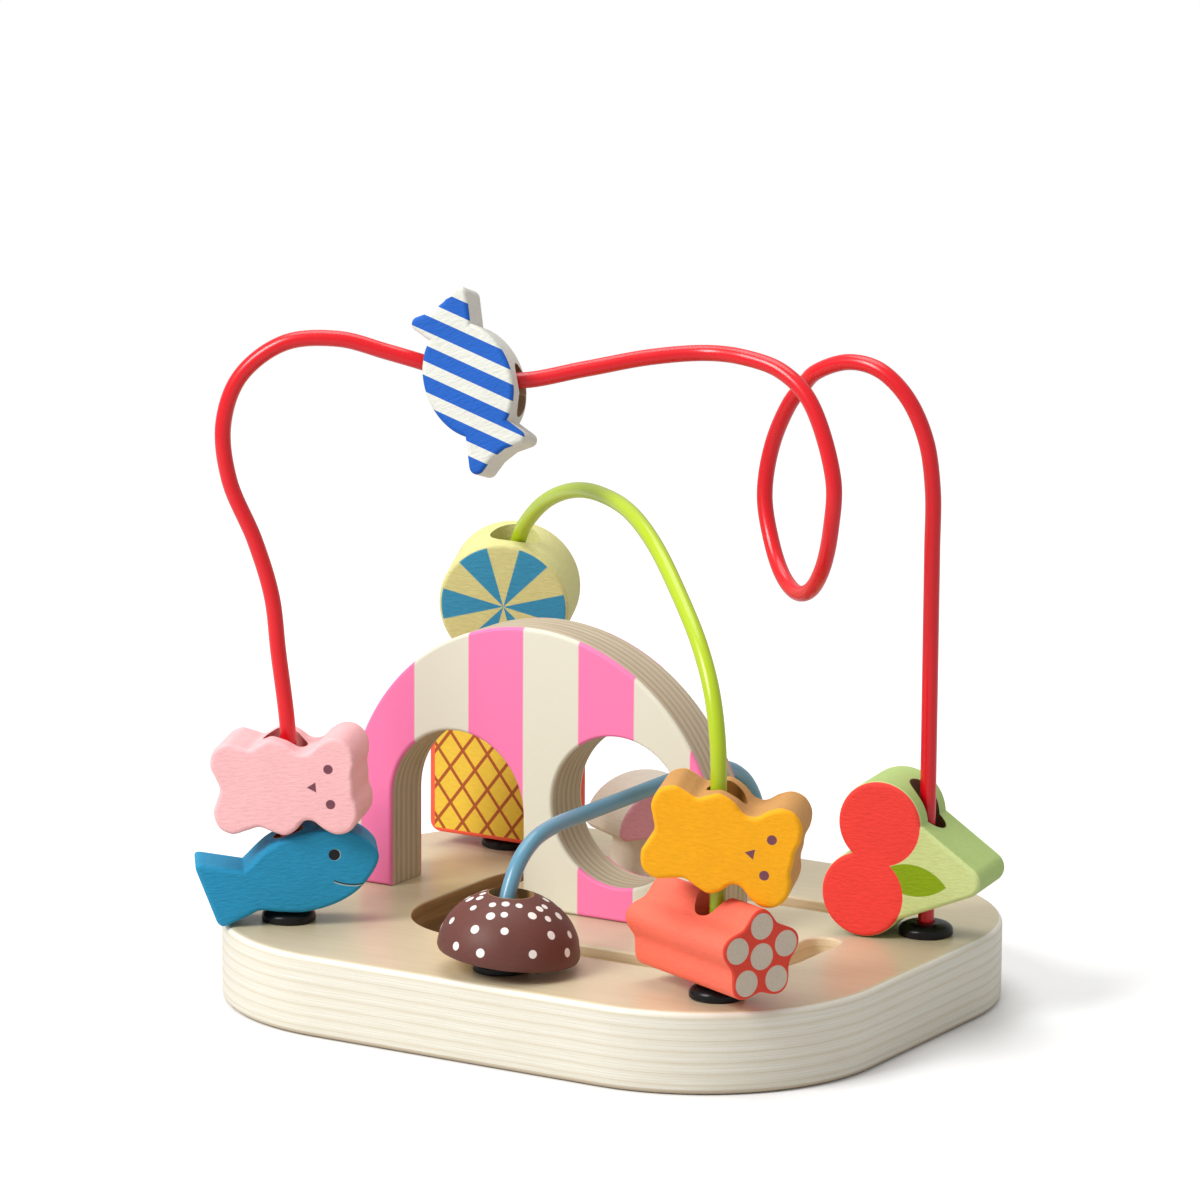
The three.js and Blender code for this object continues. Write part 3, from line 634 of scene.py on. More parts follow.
arch_outline = [(ARCH_CENTRE - ARCH_RADIUS, 0), (TUNNEL_CENTRE - TUNNEL_HALF, 0)]
arch_outline += arc((TUNNEL_CENTRE, TUNNEL_HEIGHT - TUNNEL_HALF), TUNNEL_HALF, 180, 0, 48)
arch_outline += [(TUNNEL_CENTRE + TUNNEL_HALF, 0), (ARCH_CENTRE + ARCH_RADIUS, 0)]
arch_outline += arc((ARCH_CENTRE, ARCH_LEG), ARCH_RADIUS, 0, 180, 96)
window = arc((WINDOW_CENTRE, WINDOW_HEIGHT), WINDOW_RADIUS, 0, 360, 96)
arch = plate_mesh("arch_panel", arch_outline, ARCH_THICKNESS, ARCH_EDGE, [window], WINDOW_EDGE)
arch_piece = place_object("arch", arch, holder((0, ARCH_MIDDLE), ARCH_FOOT, 0), arch_material(),
                          "frame", "arch_panel")
keep_faces_flat(arch_piece)


# Wires, as guide points measured from a foot and up from the board
LEG_UP = (-WIRE_SEAT, 9.5, 29.5, 47.5)
LOOP_CENTRE = (-29.7, -14.9, 115.5)
LOOP_REACH = 23.5
LOOP_HALF_HEIGHT = 29.5
LOOP_AZIMUTH = math.radians(51)
LOOP_START = 84
LOOP_TURN = 24
LOOP_POINTS = 8
WIRE_STEPS = 16


def over(foot, offsets):
    return [(foot[0] + dx, foot[1] + dy, BOARD_TOP + height) for dx, dy, height in offsets]


def leg(foot, heights):
    return over(foot, [(0, 0, height) for height in heights])


def loop_points(foot):
    """The loop from its right side, round the bottom, to its left side."""
    offsets = []
    for step in range(LOOP_POINTS):
        angle = math.radians(LOOP_START + LOOP_TURN * step)
        reach = LOOP_REACH * math.sin(angle)
        dx = LOOP_CENTRE[0] + reach * math.sin(LOOP_AZIMUTH)
        dy = LOOP_CENTRE[1] - reach * math.cos(LOOP_AZIMUTH)
        offsets.append((dx, dy, LOOP_CENTRE[2] + LOOP_HALF_HEIGHT * math.cos(angle)))
    return over(foot, offsets)


red_points = leg(RED_LEFT, LEG_UP) + over(RED_LEFT, [
    (-2.3, -0.8, 68.5), (-3.8, -1.4, 82.5), (-7.5, -3.3, 96.5), (-13, -6.2, 111.5), (-14.3, -6.8, 125.5),
    (-10.6, -4.8, 137.5), (-1, 0.2, 146), (11, 6.4, 147.3), (22.3, 12.3, 144.1), (37, 20, 139.7),
    (50.1, 26.7, 137.7), (65, 34.4, 140.9), (79, 41.7, 144.1), (92, 47, 145.6), (103.5, 46.6, 145.5),
    (114, 45.8, 143.2), (122.2, 44.9, 137),
]) + loop_points(RED_RIGHT) + over(RED_RIGHT, [
    (-46.1, 0.9, 118.6), (-41.2, 0.7, 129.6), (-37.4, 0.4, 134.4), (-32.7, -1.3, 138.7), (-22.7, -2.5, 142.4),
    (-13.6, -3.2, 141.3), (-6.4, -2.6, 135.3), (-1.9, -0.8, 125), (-0.1, 0, 112.5), (0, 0, 97.5),
]) + leg(RED_RIGHT, (79.5, 59.5, *LEG_UP[::-1]))
green_points = leg(GREEN_BACK, LEG_UP) + over(GREEN_BACK, [
    (0.8, -0.6, 63.5), (3, -2.4, 75.5), (7.5, -6.1, 85), (15, -12.3, 92), (25.5, -20.9, 98.5),
    (40.5, -33.2, 104.2), (55.2, -45.3, 106.7),
]) + over(GREEN_FRONT, [
    (-49.9, 41.1, 106.3), (-35.7, 29.4, 101.5), (-21.8, 17.9, 92.5), (-10.8, 8.9, 83), (-4.3, 3.6, 73.5),
    (-1, 0.9, 62.5),
]) + leg(GREEN_FRONT, LEG_UP[::-1])
blue_points = leg(BLUE_FRONT, (-WIRE_SEAT, 1.5)) + over(BLUE_FRONT, [
    (0, 0.7, 9.5), (0, 3.3, 18), (0, 8, 25), (0, 14.5, 29.1), (0, 23.5, 30.9), (0, 41.5, 31.1),
    (0, 61.5, 31.1), (0, 81.5, 31.1),
]) + over(BLUE_BACK, [(0, -27.5, 30.7), (0, -14.5, 27.7), (0, -5.9, 21.9), (0, -1, 13.5)])
blue_points += leg(BLUE_BACK, (4.5, -WIRE_SEAT))


def wire_material(name, color):
    """Gloss powder coat with a faint orange-peel surface."""
    paint = Paint(name)
    peel = paint.noise(EVEN, 0.25, 2.0)
    dust = paint.noise(EVEN, 0.05, 2.0)
    tinted = paint.shade(color, dust, 0.95, 1.04)
    roughness = paint.math("MULTIPLY_ADD", peel, 0.1, 0.3)
    return paint.finish(tinted, roughness, peel, 0.004, coat=0.6)


def add_wire(name, points, color):
    curve = bpy.data.curves.new(name, "CURVE")
    curve.dimensions = "3D"
    curve.bevel_depth = WIRE / 2 * MM
    curve.bevel_resolution = 8
    curve.use_fill_caps = True
    path = open_curve(points, WIRE_STEPS)
    spline = curve.splines.new("POLY")
    spline.points.add(len(path) - 1)
    for target, point in zip(spline.points, path):
        target.co = (*(point * MM), 1.0)
    place_object(name + "_coated", curve, Matrix.Identity(4), wire_material(name, color), "frame", name)


add_wire("red_wire", red_points, linear(224, 10, 26))
add_wire("green_wire", green_points, linear(178, 202, 26))
add_wire("blue_wire", blue_points, linear(98, 150, 174))


# Foot caps: low black domes with a small collar
CAP_HOLE = 2.3
CAP_COLLAR = 3.3
CAP_RADIUS = 6.8
CAP_BEVEL = 0.3
CAP_WALL = 1.2
CAP_CROWN = 2
CAP_STEPS = 9


def cap_material():
    paint = Paint("black_plastic")
    specks = paint.noise(EVEN, 1.2, 4.0)
    color = paint.mix(specks, linear(14, 14, 15), linear(26, 26, 28))
    return paint.finish(color, paint.math("MULTIPLY_ADD", specks, 0.15, 0.22), specks, 0.02)


def cap_profile():
    profile = [(CAP_HOLE, 0), (CAP_RADIUS - CAP_BEVEL, 0), (CAP_RADIUS, CAP_BEVEL), (CAP_RADIUS, CAP_WALL)]
    half = CAP_RADIUS / 2
    for step in range(1, CAP_STEPS):
        angle = math.radians(90 * step / CAP_STEPS)
        profile.append((half + half * math.cos(angle), CAP_WALL + CAP_CROWN * math.sin(angle)))
    return profile + [(CAP_COLLAR, CAP_HEIGHT), (CAP_HOLE, CAP_HEIGHT)]


black = cap_material()
cap_feet = {"red_left": RED_LEFT, "red_right": RED_RIGHT, "green_back": GREEN_BACK,
            "green_front": GREEN_FRONT, "blue_front": BLUE_FRONT, "blue_back": BLUE_BACK}
for foot, spot in cap_feet.items():
    mesh = lathe_mesh(foot + "_cap", cap_profile())
    cap_place = holder(spot, BOARD_TOP + FIT_GAP, 0)
    place_object(foot + "_foot", mesh, cap_place, black, "frame", foot + "_cap")


# Bears: the upper half of the outline, from the feet to the head
BEAR_HALF = [(-16.3, 0), (-17.2, 2.8), (-18.3, 6), (-17.2, 9.8), (-13.9, 11.6), (-10.6, 10.8), (-7.9, 10),
             (-5.4, 11.2), (-2.6, 12.2), (0.9, 11), (3.9, 8.8), (6.8, 8.8), (9.6, 11), (12.6, 12.3),
             (15.8, 11.6), (18, 9), (18.4, 5.6), (17.7, 2.6), (17.8, 0)]
ARM_FORWARD = 2.2
ARM_CENTRE = -3
ARM_REACH = 9
BEAR_THICKNESS = 20
BEAR_AZIMUTH = 22
BEAR_EYE = (11.7, 4.45)
BEAR_EYE_RADIUS = 1.2
BEAR_NOSE = ((6.0, 0.0), (8.3, -1.3), (8.3, 1.3))
FACE_BROWN = linear(122, 72, 84)
FISH_HEIGHT = CAP_TOP + 11
PINK_HEIGHT = FISH_HEIGHT + 21.8
PINK_SHIFT = 0.8
PINK_TILT = -4
CORAL_RING = 6.3
CORAL_LOBE = 5.3
LOBES = 5
CORAL_HEIGHT = CAP_TOP + REST_GAP + CORAL_RING * math.cos(math.pi / LOBES) + CORAL_LOBE
ORANGE_HEIGHT = CORAL_HEIGHT + CORAL_RING + CORAL_LOBE + 14.5
ORANGE_SHIFT = 1.9
ORANGE_TILT = 11.4
ORANGE_BORE = 10


def bear_outline():
    """The upper half and its mirror image, where the lower arm reaches further forward."""
    lower = []
    for x, y in BEAR_HALF[-2:0:-1]:
        forward = ARM_FORWARD * max(0.0, 1 - abs(x - ARM_CENTRE) / ARM_REACH)
        lower.append((x + forward, -y))
    return round_curve(BEAR_HALF + lower)


def bear_face(paint, plane, front):
    """Two round eyes and a three-cornered nose."""
    x, y = BEAR_EYE
    eyes = paint.either(*[paint.disc(plane, (x, height), BEAR_EYE_RADIUS) for height in (y, -y)])
    tip, low, high = BEAR_NOSE
    nose = paint.both(paint.side(plane, tip, low), paint.side(plane, low, high), paint.side(plane, high, tip))
    return paint.both(front, paint.either(eyes, nose))


def bear_colors(color, bare_sides):
    def color_of(paint, plane):
        result = color
        if bare_sides:
            sides = paint.below(paint.math("ABSOLUTE", paint.y), BEAR_THICKNESS / 2 - 1.3, 0.6)
            tinted = paint.mix(0.35, bare_wood(paint, 0), linear(236, 158, 48))
            result = paint.mix(sides, result, tinted)
        front = front_face(paint, BEAR_THICKNESS)
        return paint.mix(bear_face(paint, plane, front), result, FACE_BROWN)
    return color_of


def set_bead(name, mesh, matrix, material):
    piece = place_object(name + "_bead", mesh, matrix, material, name, name)
    keep_faces_flat(piece)


def add_bead(name, outline, thickness, matrix, material, bore_shift=0.0, edge=BEAD_EDGE, bore=BORE):
    mesh = plate_mesh(name, outline, thickness, edge)
    mesh = cut_mesh(mesh, [cylinder_mesh(bore, -THROUGH, THROUGH, bore_shift)])
    set_bead(name, mesh, matrix, material)


pink = painted("pink_bear", bear_colors(linear(252, 190, 192), False), BEAR_THICKNESS, (-PINK_SHIFT, BORE),
               linear(206, 122, 118))
orange = painted("orange_bear", bear_colors(linear(252, 174, 10), True), BEAR_THICKNESS,
                 (-ORANGE_SHIFT, ORANGE_BORE), linear(160, 104, 42))
pink_place = holder(RED_LEFT, PINK_HEIGHT, BEAR_AZIMUTH, PINK_TILT, 0, (PINK_SHIFT, 0, 0))
add_bead("pink_bear", bear_outline(), BEAR_THICKNESS, pink_place, pink, -PINK_SHIFT)
orange_place = holder(GREEN_FRONT, ORANGE_HEIGHT, BEAR_AZIMUTH, ORANGE_TILT, 0, (ORANGE_SHIFT, 0, 0))
add_bead("orange_bear", bear_outline(), BEAR_THICKNESS, orange_place, orange, -ORANGE_SHIFT, bore=ORANGE_BORE)


# Fish
FISH_BODY = [(-11.4, 0.2), (-5, 6.2), (0.5, 8.6), (7.3, 10.2), (14.6, 10), (20.3, 6.8), (22.3, 3.2),
             (18.3, -4), (12.4, -8.2), (4.4, -10.6), (-2, -10.6), (-7.5, -10.2), (-10, -11.4)]
FISH_TAIL = [(-17.4, -14.8), (-24, 2.3)]
FISH_THICKNESS = 15
FISH_BORE = 7.5
FISH_AZIMUTH = 36
FISH_EYE = (11.1, 4.1)
FISH_EYE_RADIUS = 1.42
FISH_EYE_RING = (11.25, 4.1)
FISH_EYE_RING_RADIUS = 1.5
MOUTH_CENTRE = (16.0, 8.6, 0.0)
MOUTH_RADIUS = 12.2
MOUTH_EDGE_RADIUS = 12.5
MOUTH_FROM = 11.0
MOUTH_TO = 18.2


def fish_colors(paint, plane):
    front = front_face(paint, FISH_THICKNESS)
    ring = paint.disc(plane, FISH_EYE_RING, FISH_EYE_RING_RADIUS)
    eye = paint.disc(plane, FISH_EYE, FISH_EYE_RADIUS)
    reach = paint.vector("DISTANCE", plane, MOUTH_CENTRE)

    def curved_line(radius, half_width):
        return paint.below(paint.math("ABSOLUTE", paint.math("SUBTRACT", reach, radius)), half_width, 0.1)

    mouth_line = curved_line(MOUTH_RADIUS, 0.17)
    mouth_edge = curved_line(MOUTH_EDGE_RADIUS, 0.16)
    ahead = paint.above(paint.x, MOUTH_FROM)
    span = paint.both(ahead, paint.below(paint.z, 0.0), paint.below(paint.x, MOUTH_TO))
    color = paint.mix(paint.both(front, ring), linear(34, 146, 190), linear(150, 178, 184))
    color = paint.mix(paint.both(front, eye), color, linear(26, 28, 32))
    color = paint.mix(paint.both(front, span, mouth_edge), color, linear(168, 190, 190))
    return paint.mix(paint.both(front, span, mouth_line), color, linear(32, 44, 52))


fish_outline = [(point.x, point.y) for point in open_curve([(x, y, 0) for x, y in FISH_BODY])]
fish_outline += soft_corner(FISH_BODY[-1], FISH_TAIL[0], FISH_TAIL[1])
fish_outline += soft_corner(FISH_TAIL[0], FISH_TAIL[1], FISH_BODY[0])
fish_paint = painted("fish", fish_colors, FISH_THICKNESS, (0.0, FISH_BORE), bumps=0.45)
fish_place = holder(RED_LEFT, FISH_HEIGHT, FISH_AZIMUTH)
add_bead("fish", fish_outline, FISH_THICKNESS, fish_place, fish_paint, bore=FISH_BORE)


# Cherries
CHERRY_UPPER = (-9.2, 18.2)
CHERRY_LOWER = (-13.4, 0.0)
CHERRY_RADIUS = 10.8
CHERRY_PRINT_RADIUS = 10.65
CHERRY_UPPER_ANGLE = 3
CHERRY_LOWER_ANGLE = -33
CHERRY_CORNER = (13.2, 5.6)
CHERRY_CORNER_RADIUS = 4
CHERRY_THICKNESS = 20
CHERRY_BORE = 9
CHERRY_AZIMUTH = 9


def touch_angle(point, centre, radius, sign):
    """Where the straight line from a point touches a circle."""
    dx = point[0] - centre[0]
    dy = point[1] - centre[1]
    return math.degrees(math.atan2(dy, dx) + sign * math.acos(radius / math.hypot(dx, dy)))


def cherry_outline():
    """Two round cherries that meet at a notch, drawn together to a corner."""
    high_point = arc(CHERRY_UPPER, CHERRY_RADIUS, CHERRY_UPPER_ANGLE, CHERRY_UPPER_ANGLE, 1)[0]
    low_point = arc(CHERRY_LOWER, CHERRY_RADIUS, CHERRY_LOWER_ANGLE, CHERRY_LOWER_ANGLE, 1)[0]
    high = touch_angle(high_point, CHERRY_CORNER, CHERRY_CORNER_RADIUS, -1)
    low = touch_angle(low_point, CHERRY_CORNER, CHERRY_CORNER_RADIUS, 1)
    gap = Vector(CHERRY_UPPER) - Vector(CHERRY_LOWER)
    between = math.degrees(math.atan2(gap.y, gap.x))
    notch = math.degrees(math.acos(gap.length / 2 / CHERRY_RADIUS))
    points = arc(CHERRY_CORNER, CHERRY_CORNER_RADIUS, low, high, 12)
    points += arc(CHERRY_UPPER, CHERRY_RADIUS, CHERRY_UPPER_ANGLE, between + 180 - notch, 48)
    return points + arc(CHERRY_LOWER, CHERRY_RADIUS, between + notch, CHERRY_LOWER_ANGLE + 360, 48)


def cherry_colors(paint, plane):
    front = front_face(paint, CHERRY_THICKNESS)
    # The sides get a darker green than the front face: painted shade on the sides.
    face = paint.mix(front, linear(182, 206, 124), linear(212, 226, 150))
    fruit = paint.either(paint.disc(plane, CHERRY_UPPER, CHERRY_PRINT_RADIUS),
                         paint.disc(plane, CHERRY_LOWER, CHERRY_PRINT_RADIUS))
    leaf = paint.both(paint.disc(plane, (0.3, 13.8), 12.9), paint.disc(plane, (-1.2, -3.2), 12.1))
    color = paint.mix(paint.both(front, leaf), face, linear(140, 172, 6))
    return paint.mix(paint.both(front, fruit), color, linear(250, 68, 60))


# The cherry's dark brown bore colour is bare wood darkened as painted shade in the hole.
cherry_paint = painted("cherry", cherry_colors, CHERRY_THICKNESS, (0.0, CHERRY_BORE), linear(104, 84, 52))
cherry_place = holder(RED_RIGHT, BOARD_TOP + REST_GAP + CHERRY_RADIUS, CHERRY_AZIMUTH)
add_bead("cherry", cherry_outline(), CHERRY_THICKNESS, cherry_place, cherry_paint, bore=CHERRY_BORE)


# Sweet in its wrapper, with two bores that overlap along the curved wire
CANDY_THICKNESS = 15
CANDY_GUIDE = 13
CANDY_OFFSET = (3.8, 1.9, -2.6)
CANDY_AZIMUTH = 18
CANDY_TILT = -24.7
CANDY_LEAN = -14
CANDY_STRIPE = 6.75
CANDY_STRIPE_TURN = -12
CANDY_BORES = [((1.4, 0.0, 2.0), 8.4), ((-1.2, -0.3, -2.0), 7.2)]
CANDY_HALF_WIDTH = 11
CANDY_HALF_BODY = 14.8
CANDY_WAIST = 5.6
CANDY_STEPS = 40
CANDY_WHITE_TIP = 20.6
WING_TIP = (5.5, 20.6)
WING_TIP_RADIUS = 2.0
WING_EDGE = [(1.2, 20.3), (-2.6, 19.2)]
WING_HEEL = (-6.6, 17.6)
WING_HEEL_RADIUS = 1.8
candy_middle = Vector(red_points[CANDY_GUIDE]) + Vector(CANDY_OFFSET)
candy_place = holder(candy_middle.xy, candy_middle.z, CANDY_AZIMUTH, CANDY_TILT, CANDY_LEAN)
candy_along = (Vector(red_points[CANDY_GUIDE + 1]) - Vector(red_points[CANDY_GUIDE - 1])).normalized()
candy_local = candy_place.to_3x3().inverted() @ candy_along


def candy_outline():
    """A rounded body with a skewed wing at each end."""
    start = math.acos(CANDY_WAIST / CANDY_HALF_WIDTH)
    half = []
    for step in range(CANDY_STEPS + 1):
        angle = -start + 2 * start * step / CANDY_STEPS
        half.append((CANDY_HALF_WIDTH * math.cos(angle), CANDY_HALF_BODY * math.sin(angle)))
    half += arc(WING_TIP, WING_TIP_RADIUS, -15, 130, 8)
    half += WING_EDGE
    half += arc(WING_HEEL, WING_HEEL_RADIUS, 80, 215, 8)
    return half + [(-x, -y) for x, y in half]


def candy_bore_color(paint, color):
    """Bare wood inside the bores that the wire passes through, darkened as painted shade."""
    along = paint.vector("DOT_PRODUCT", paint.place, tuple(candy_local))
    walls = []
    for bore_shift, bore_width in CANDY_BORES:
        middle = Vector(bore_shift) - candy_local * Vector(bore_shift).dot(candy_local)
        on_axis = [paint.math("MULTIPLY_ADD", along, candy_local[i], middle[i]) for i in range(3)]
        distance = paint.vector("DISTANCE", paint.place, paint.join(*on_axis))
        walls.append(paint.below(distance, bore_width / 2 + BORE_SKIN, 0.2))
    return paint.mix(paint.either(*walls), color, linear(150, 122, 92))


def candy_colors(paint, plane):
    front = front_face(paint, CANDY_THICKNESS, 0.9)
    run = Vector((candy_local.x, candy_local.z)).normalized()
    slope = Matrix.Rotation(math.radians(CANDY_STRIPE_TURN), 2) @ run
    across = paint.vector("DOT_PRODUCT", plane, (-slope.y, slope.x, 0.0))
    phase = paint.math("MULTIPLY_ADD", across, 2 / CANDY_STRIPE, 0.5)
    blue = paint.above(paint.math("PINGPONG", phase, 1.0), 0.46, 0.03)
    blue = paint.both(blue, paint.below(paint.z, CANDY_WHITE_TIP, 0.2))
    color = paint.mix(paint.both(front, blue), linear(226, 226, 216), linear(20, 94, 190))
    return candy_bore_color(paint, color)


candy_bores = []
for bore_shift, bore_width in CANDY_BORES:
    candy_bore = cylinder_mesh(bore_width, -THROUGH, THROUGH)
    candy_bore.transform(Vector((0, 0, 1)).rotation_difference(candy_local).to_matrix().to_4x4())
    candy_bore.transform(Matrix.Translation(Vector(bore_shift) * MM))
    candy_bores.append(candy_bore)
candy = cut_mesh(plate_mesh("candy", candy_outline(), CANDY_THICKNESS, BEAD_EDGE), candy_bores)
set_bead("candy", candy, candy_place, painted("candy", candy_colors, CANDY_THICKNESS))


# Lobed stick with printed ends
CORAL_LENGTH = 41
CORAL_SHIFT = 2.5
CORAL_AZIMUTH = 66
CORAL_EDGE = 0.8
CORAL_MEAN = 10.28
CORAL_WAVE = 1.32
CORAL_STEPS = 180
SEED_RING = 7.4
SEED_RADIUS = 3.2
MIDDLE_SEED_RADIUS = 3.25


def coral_outline():
    points = []
    for step in range(CORAL_STEPS):
        angle = 2 * math.pi * step / CORAL_STEPS
        radius = CORAL_MEAN + CORAL_WAVE * math.cos(LOBES * (angle - math.pi / 2))
        points.append((radius * math.cos(angle), radius * math.sin(angle)))
    return points


def coral_colors(paint, plane):
    end = both_faces(paint, CORAL_LENGTH, 0.5, 0.2)
    seeds = [paint.disc(plane, (0.0, 0.0), MIDDLE_SEED_RADIUS)]
    for lobe in range(LOBES):
        angle = math.radians(90 + 360 / LOBES * lobe)
        centre = (SEED_RING * math.cos(angle), SEED_RING * math.sin(angle))
        seeds.append(paint.disc(plane, centre, SEED_RADIUS))
    color = paint.mix(end, linear(255, 116, 92), linear(232, 70, 50))
    return paint.mix(paint.both(end, paint.either(*seeds)), color, linear(214, 198, 178))


coral = plate_mesh("coral_tube", coral_outline(), CORAL_LENGTH, CORAL_EDGE)
coral = cut_mesh(coral, [cylinder_mesh(BORE, -THROUGH, THROUGH, 0, -CORAL_SHIFT)])
coral_paint = painted("coral_tube", coral_colors, CORAL_LENGTH, grain_axis=1)
coral_place = holder(GREEN_FRONT, CORAL_HEIGHT, CORAL_AZIMUTH, 0, 0, (0, CORAL_SHIFT, 0))
set_bead("coral_tube", coral, coral_place, coral_paint)


# Chocolate dome with rows of sugar dots: their number, height angle and radius
DOME_RADIUS = 17.5
DOME_HEIGHT = 16
DOME_RIM = 1
DOME_STEPS = 24
DOME_SHIFT = 1.8
DOME_ROWS = ((10, 12, 1.08), (10, 31, 1.05), (14, 49, 1.0), (14, 61, 0.92))
NO_WORN_RIM = 80


def dome_dots():
    """Azimuth, height angle and radius of each dot, all a little uneven."""
    dots = []
    for row, (count, lift, size) in enumerate(DOME_ROWS):
        for i in range(count):
            swing = 6 * math.sin(2.4 * i + row)
            rise = 3 * math.sin(1.7 * i + 2 * row)
            growth = 0.12 * math.sin(3.1 * i + row)
            dots.append((360 * i / count + 17 * row + swing, lift + rise, size + growth))
    return dots


def dome_colors(paint, plane):
    masks = []
    for azimuth, lift, size in dome_dots():
        flat = DOME_RADIUS * math.cos(math.radians(lift))
        x = flat * math.cos(math.radians(azimuth))
        y = flat * math.sin(math.radians(azimuth))
        z = DOME_RIM + (DOME_HEIGHT - DOME_RIM) * math.sin(math.radians(lift))
        masks.append(paint.below(paint.vector("DISTANCE", paint.place, (x, y, z)), size))
    return paint.mix(paint.either(*masks), linear(104, 62, 54), linear(240, 234, 228))


def dome_profile():
    profile = [(0, 0), (DOME_RADIUS - 1, 0), (DOME_RADIUS - 0.3, 0.3), (DOME_RADIUS, DOME_RIM)]
    for step in range(1, DOME_STEPS + 1):
        angle = math.radians(90 * step / DOME_STEPS)
        height = DOME_RIM + (DOME_HEIGHT - DOME_RIM) * math.sin(angle)
        profile.append((DOME_RADIUS * math.cos(angle), height))
    return profile


dome_bore = cylinder_mesh(BORE, -THROUGH, THROUGH, -DOME_SHIFT / 2)
dome = cut_mesh(lathe_mesh("dome", dome_profile()), [dome_bore])
dome_place = holder(BLUE_FRONT, CAP_TOP + 0.6, 31, 6, 0, (DOME_SHIFT, 1.4, 0))
dome_paint = painted("dome", dome_colors, NO_WORN_RIM, (-DOME_SHIFT / 2, BORE), gloss=0.36, bumps=0.06)
place_object("dome_bead", dome, dome_place, dome_paint, "dome", "dome")


# Waffle
WAFFLE_WIDTH = 36
WAFFLE_HEIGHT = 45.4
WAFFLE_THICKNESS = 20
WAFFLE_CORNER = 3
WAFFLE_EDGE = 1.0
WAFFLE_COLUMN = 7.6
WAFFLE_ROW = 9.5
WAFFLE_TOP = CAP_TOP + REST_GAP + WAFFLE_HEIGHT


def waffle_colors(paint, plane):
    front = both_faces(paint, WAFFLE_THICKNESS, 0.7)
    inner = paint.both(paint.below(paint.math("ABSOLUTE", paint.x), WAFFLE_WIDTH / 2 - 1.8),
                       paint.below(paint.math("ABSOLUTE", paint.z), WAFFLE_HEIGHT / 2 - 1.2))
    lines = []
    for sign in (1, -1):
        across = paint.math("MULTIPLY", paint.x, 1 / WAFFLE_COLUMN)
        diagonal = paint.math("ADD", across, paint.math("MULTIPLY", paint.z, sign / WAFFLE_ROW))
        offset = paint.math("ABSOLUTE", paint.math("SUBTRACT", paint.math("FRACT", diagonal), 0.5))
        lines.append(paint.above(offset, 0.425, 0.02))
    color = paint.mix(paint.either(*lines), linear(236, 200, 66), linear(172, 86, 40))
    return paint.mix(paint.both(front, inner), linear(250, 98, 72), color)


waffle_paint = painted("waffle", waffle_colors, WAFFLE_THICKNESS, (0.0, BORE), bumps=0.15)
waffle_outline = rounded_rectangle(WAFFLE_WIDTH, WAFFLE_HEIGHT, WAFFLE_CORNER, 10)
waffle_place = holder(GREEN_BACK, WAFFLE_TOP - WAFFLE_HEIGHT / 2, 0)
add_bead("waffle", waffle_outline, WAFFLE_THICKNESS, waffle_place, waffle_paint, edge=WAFFLE_EDGE)


# Wheel with printed sectors
WHEEL_RADIUS = 17
WHEEL_THICKNESS = 20
WHEEL_BORE = 13
WHEEL_LEAN = 8
WHEEL_PRINT_RADIUS = 16.3
WHEEL_PAIRS = 6
WHEEL_PHASE = 30 - 20 / 30
lean_angle = math.radians(WHEEL_LEAN)
wheel_reach = WHEEL_RADIUS * math.cos(lean_angle) + WHEEL_THICKNESS / 2 * math.sin(lean_angle)


def wheel_colors(paint, plane):
    front = both_faces(paint, WHEEL_THICKNESS, 0.5, 0.25)
    angle = paint.math("ARCTAN2", paint.z, paint.x)
    turns = paint.math("MULTIPLY_ADD", angle, WHEEL_PAIRS / math.pi, WHEEL_PHASE)
    sector = paint.above(paint.math("PINGPONG", paint.math("SUBTRACT", turns, 0.5), 1.0), 0.5, 0.04)
    rim = paint.disc(plane, (0.0, 0.0), WHEEL_PRINT_RADIUS)
    return paint.mix(paint.both(front, rim, sector), linear(222, 217, 146), linear(58, 150, 188))


wheel = plate_mesh("wheel", arc((0, 0), WHEEL_RADIUS, 0, 360, 120), WHEEL_THICKNESS, BEAD_EDGE)
wheel = cut_mesh(wheel, [cylinder_mesh(WHEEL_BORE, -THROUGH, THROUGH)])
wheel_height = WAFFLE_TOP + 0.7 + wheel_reach
wheel_place = holder(GREEN_BACK, wheel_height, 22, 6, WHEEL_LEAN, (0.8, -2, 0))
set_bead("wheel", wheel, wheel_place, painted("wheel", wheel_colors, WHEEL_THICKNESS))


# Mushroom slider, with a socket for its peg
MUSHROOM_PLACE = (-8, TRACK_BACK)
MUSHROOM_AZIMUTH = 59
MUSHROOM_THICKNESS = 20
MUSHROOM_EDGE = 1.0
STEM_FOOT = 9
STEM_TOP = 7.2
BRIM = 13.5
BRIM_EDGE = 1.5
BRIM_UNDERSIDE = 14
BRIM_HALF = 15.5
CROWN_HEIGHT = 12
CROWN_STEPS = 48
PEG_SOCKET = 8.2
PEG_SOCKET_TOP = 8.1


def mushroom_outline():
    points = [(-STEM_FOOT, 0), (STEM_FOOT, 0), (STEM_TOP, BRIM), (BRIM_UNDERSIDE, BRIM)]
    for step in range(CROWN_STEPS + 1):
        angle = math.pi * step / CROWN_STEPS
        points.append((BRIM_HALF * math.cos(angle), BRIM + BRIM_EDGE + CROWN_HEIGHT * math.sin(angle)))
    return points + [(-BRIM_UNDERSIDE, BRIM), (-STEM_TOP, BRIM)]


def mushroom_colors(paint, plane):
    front = both_faces(paint, MUSHROOM_THICKNESS, 0.8)
    cap = paint.above(paint.z, BRIM)
    return paint.mix(paint.both(front, cap), linear(238, 226, 208), linear(240, 168, 184))


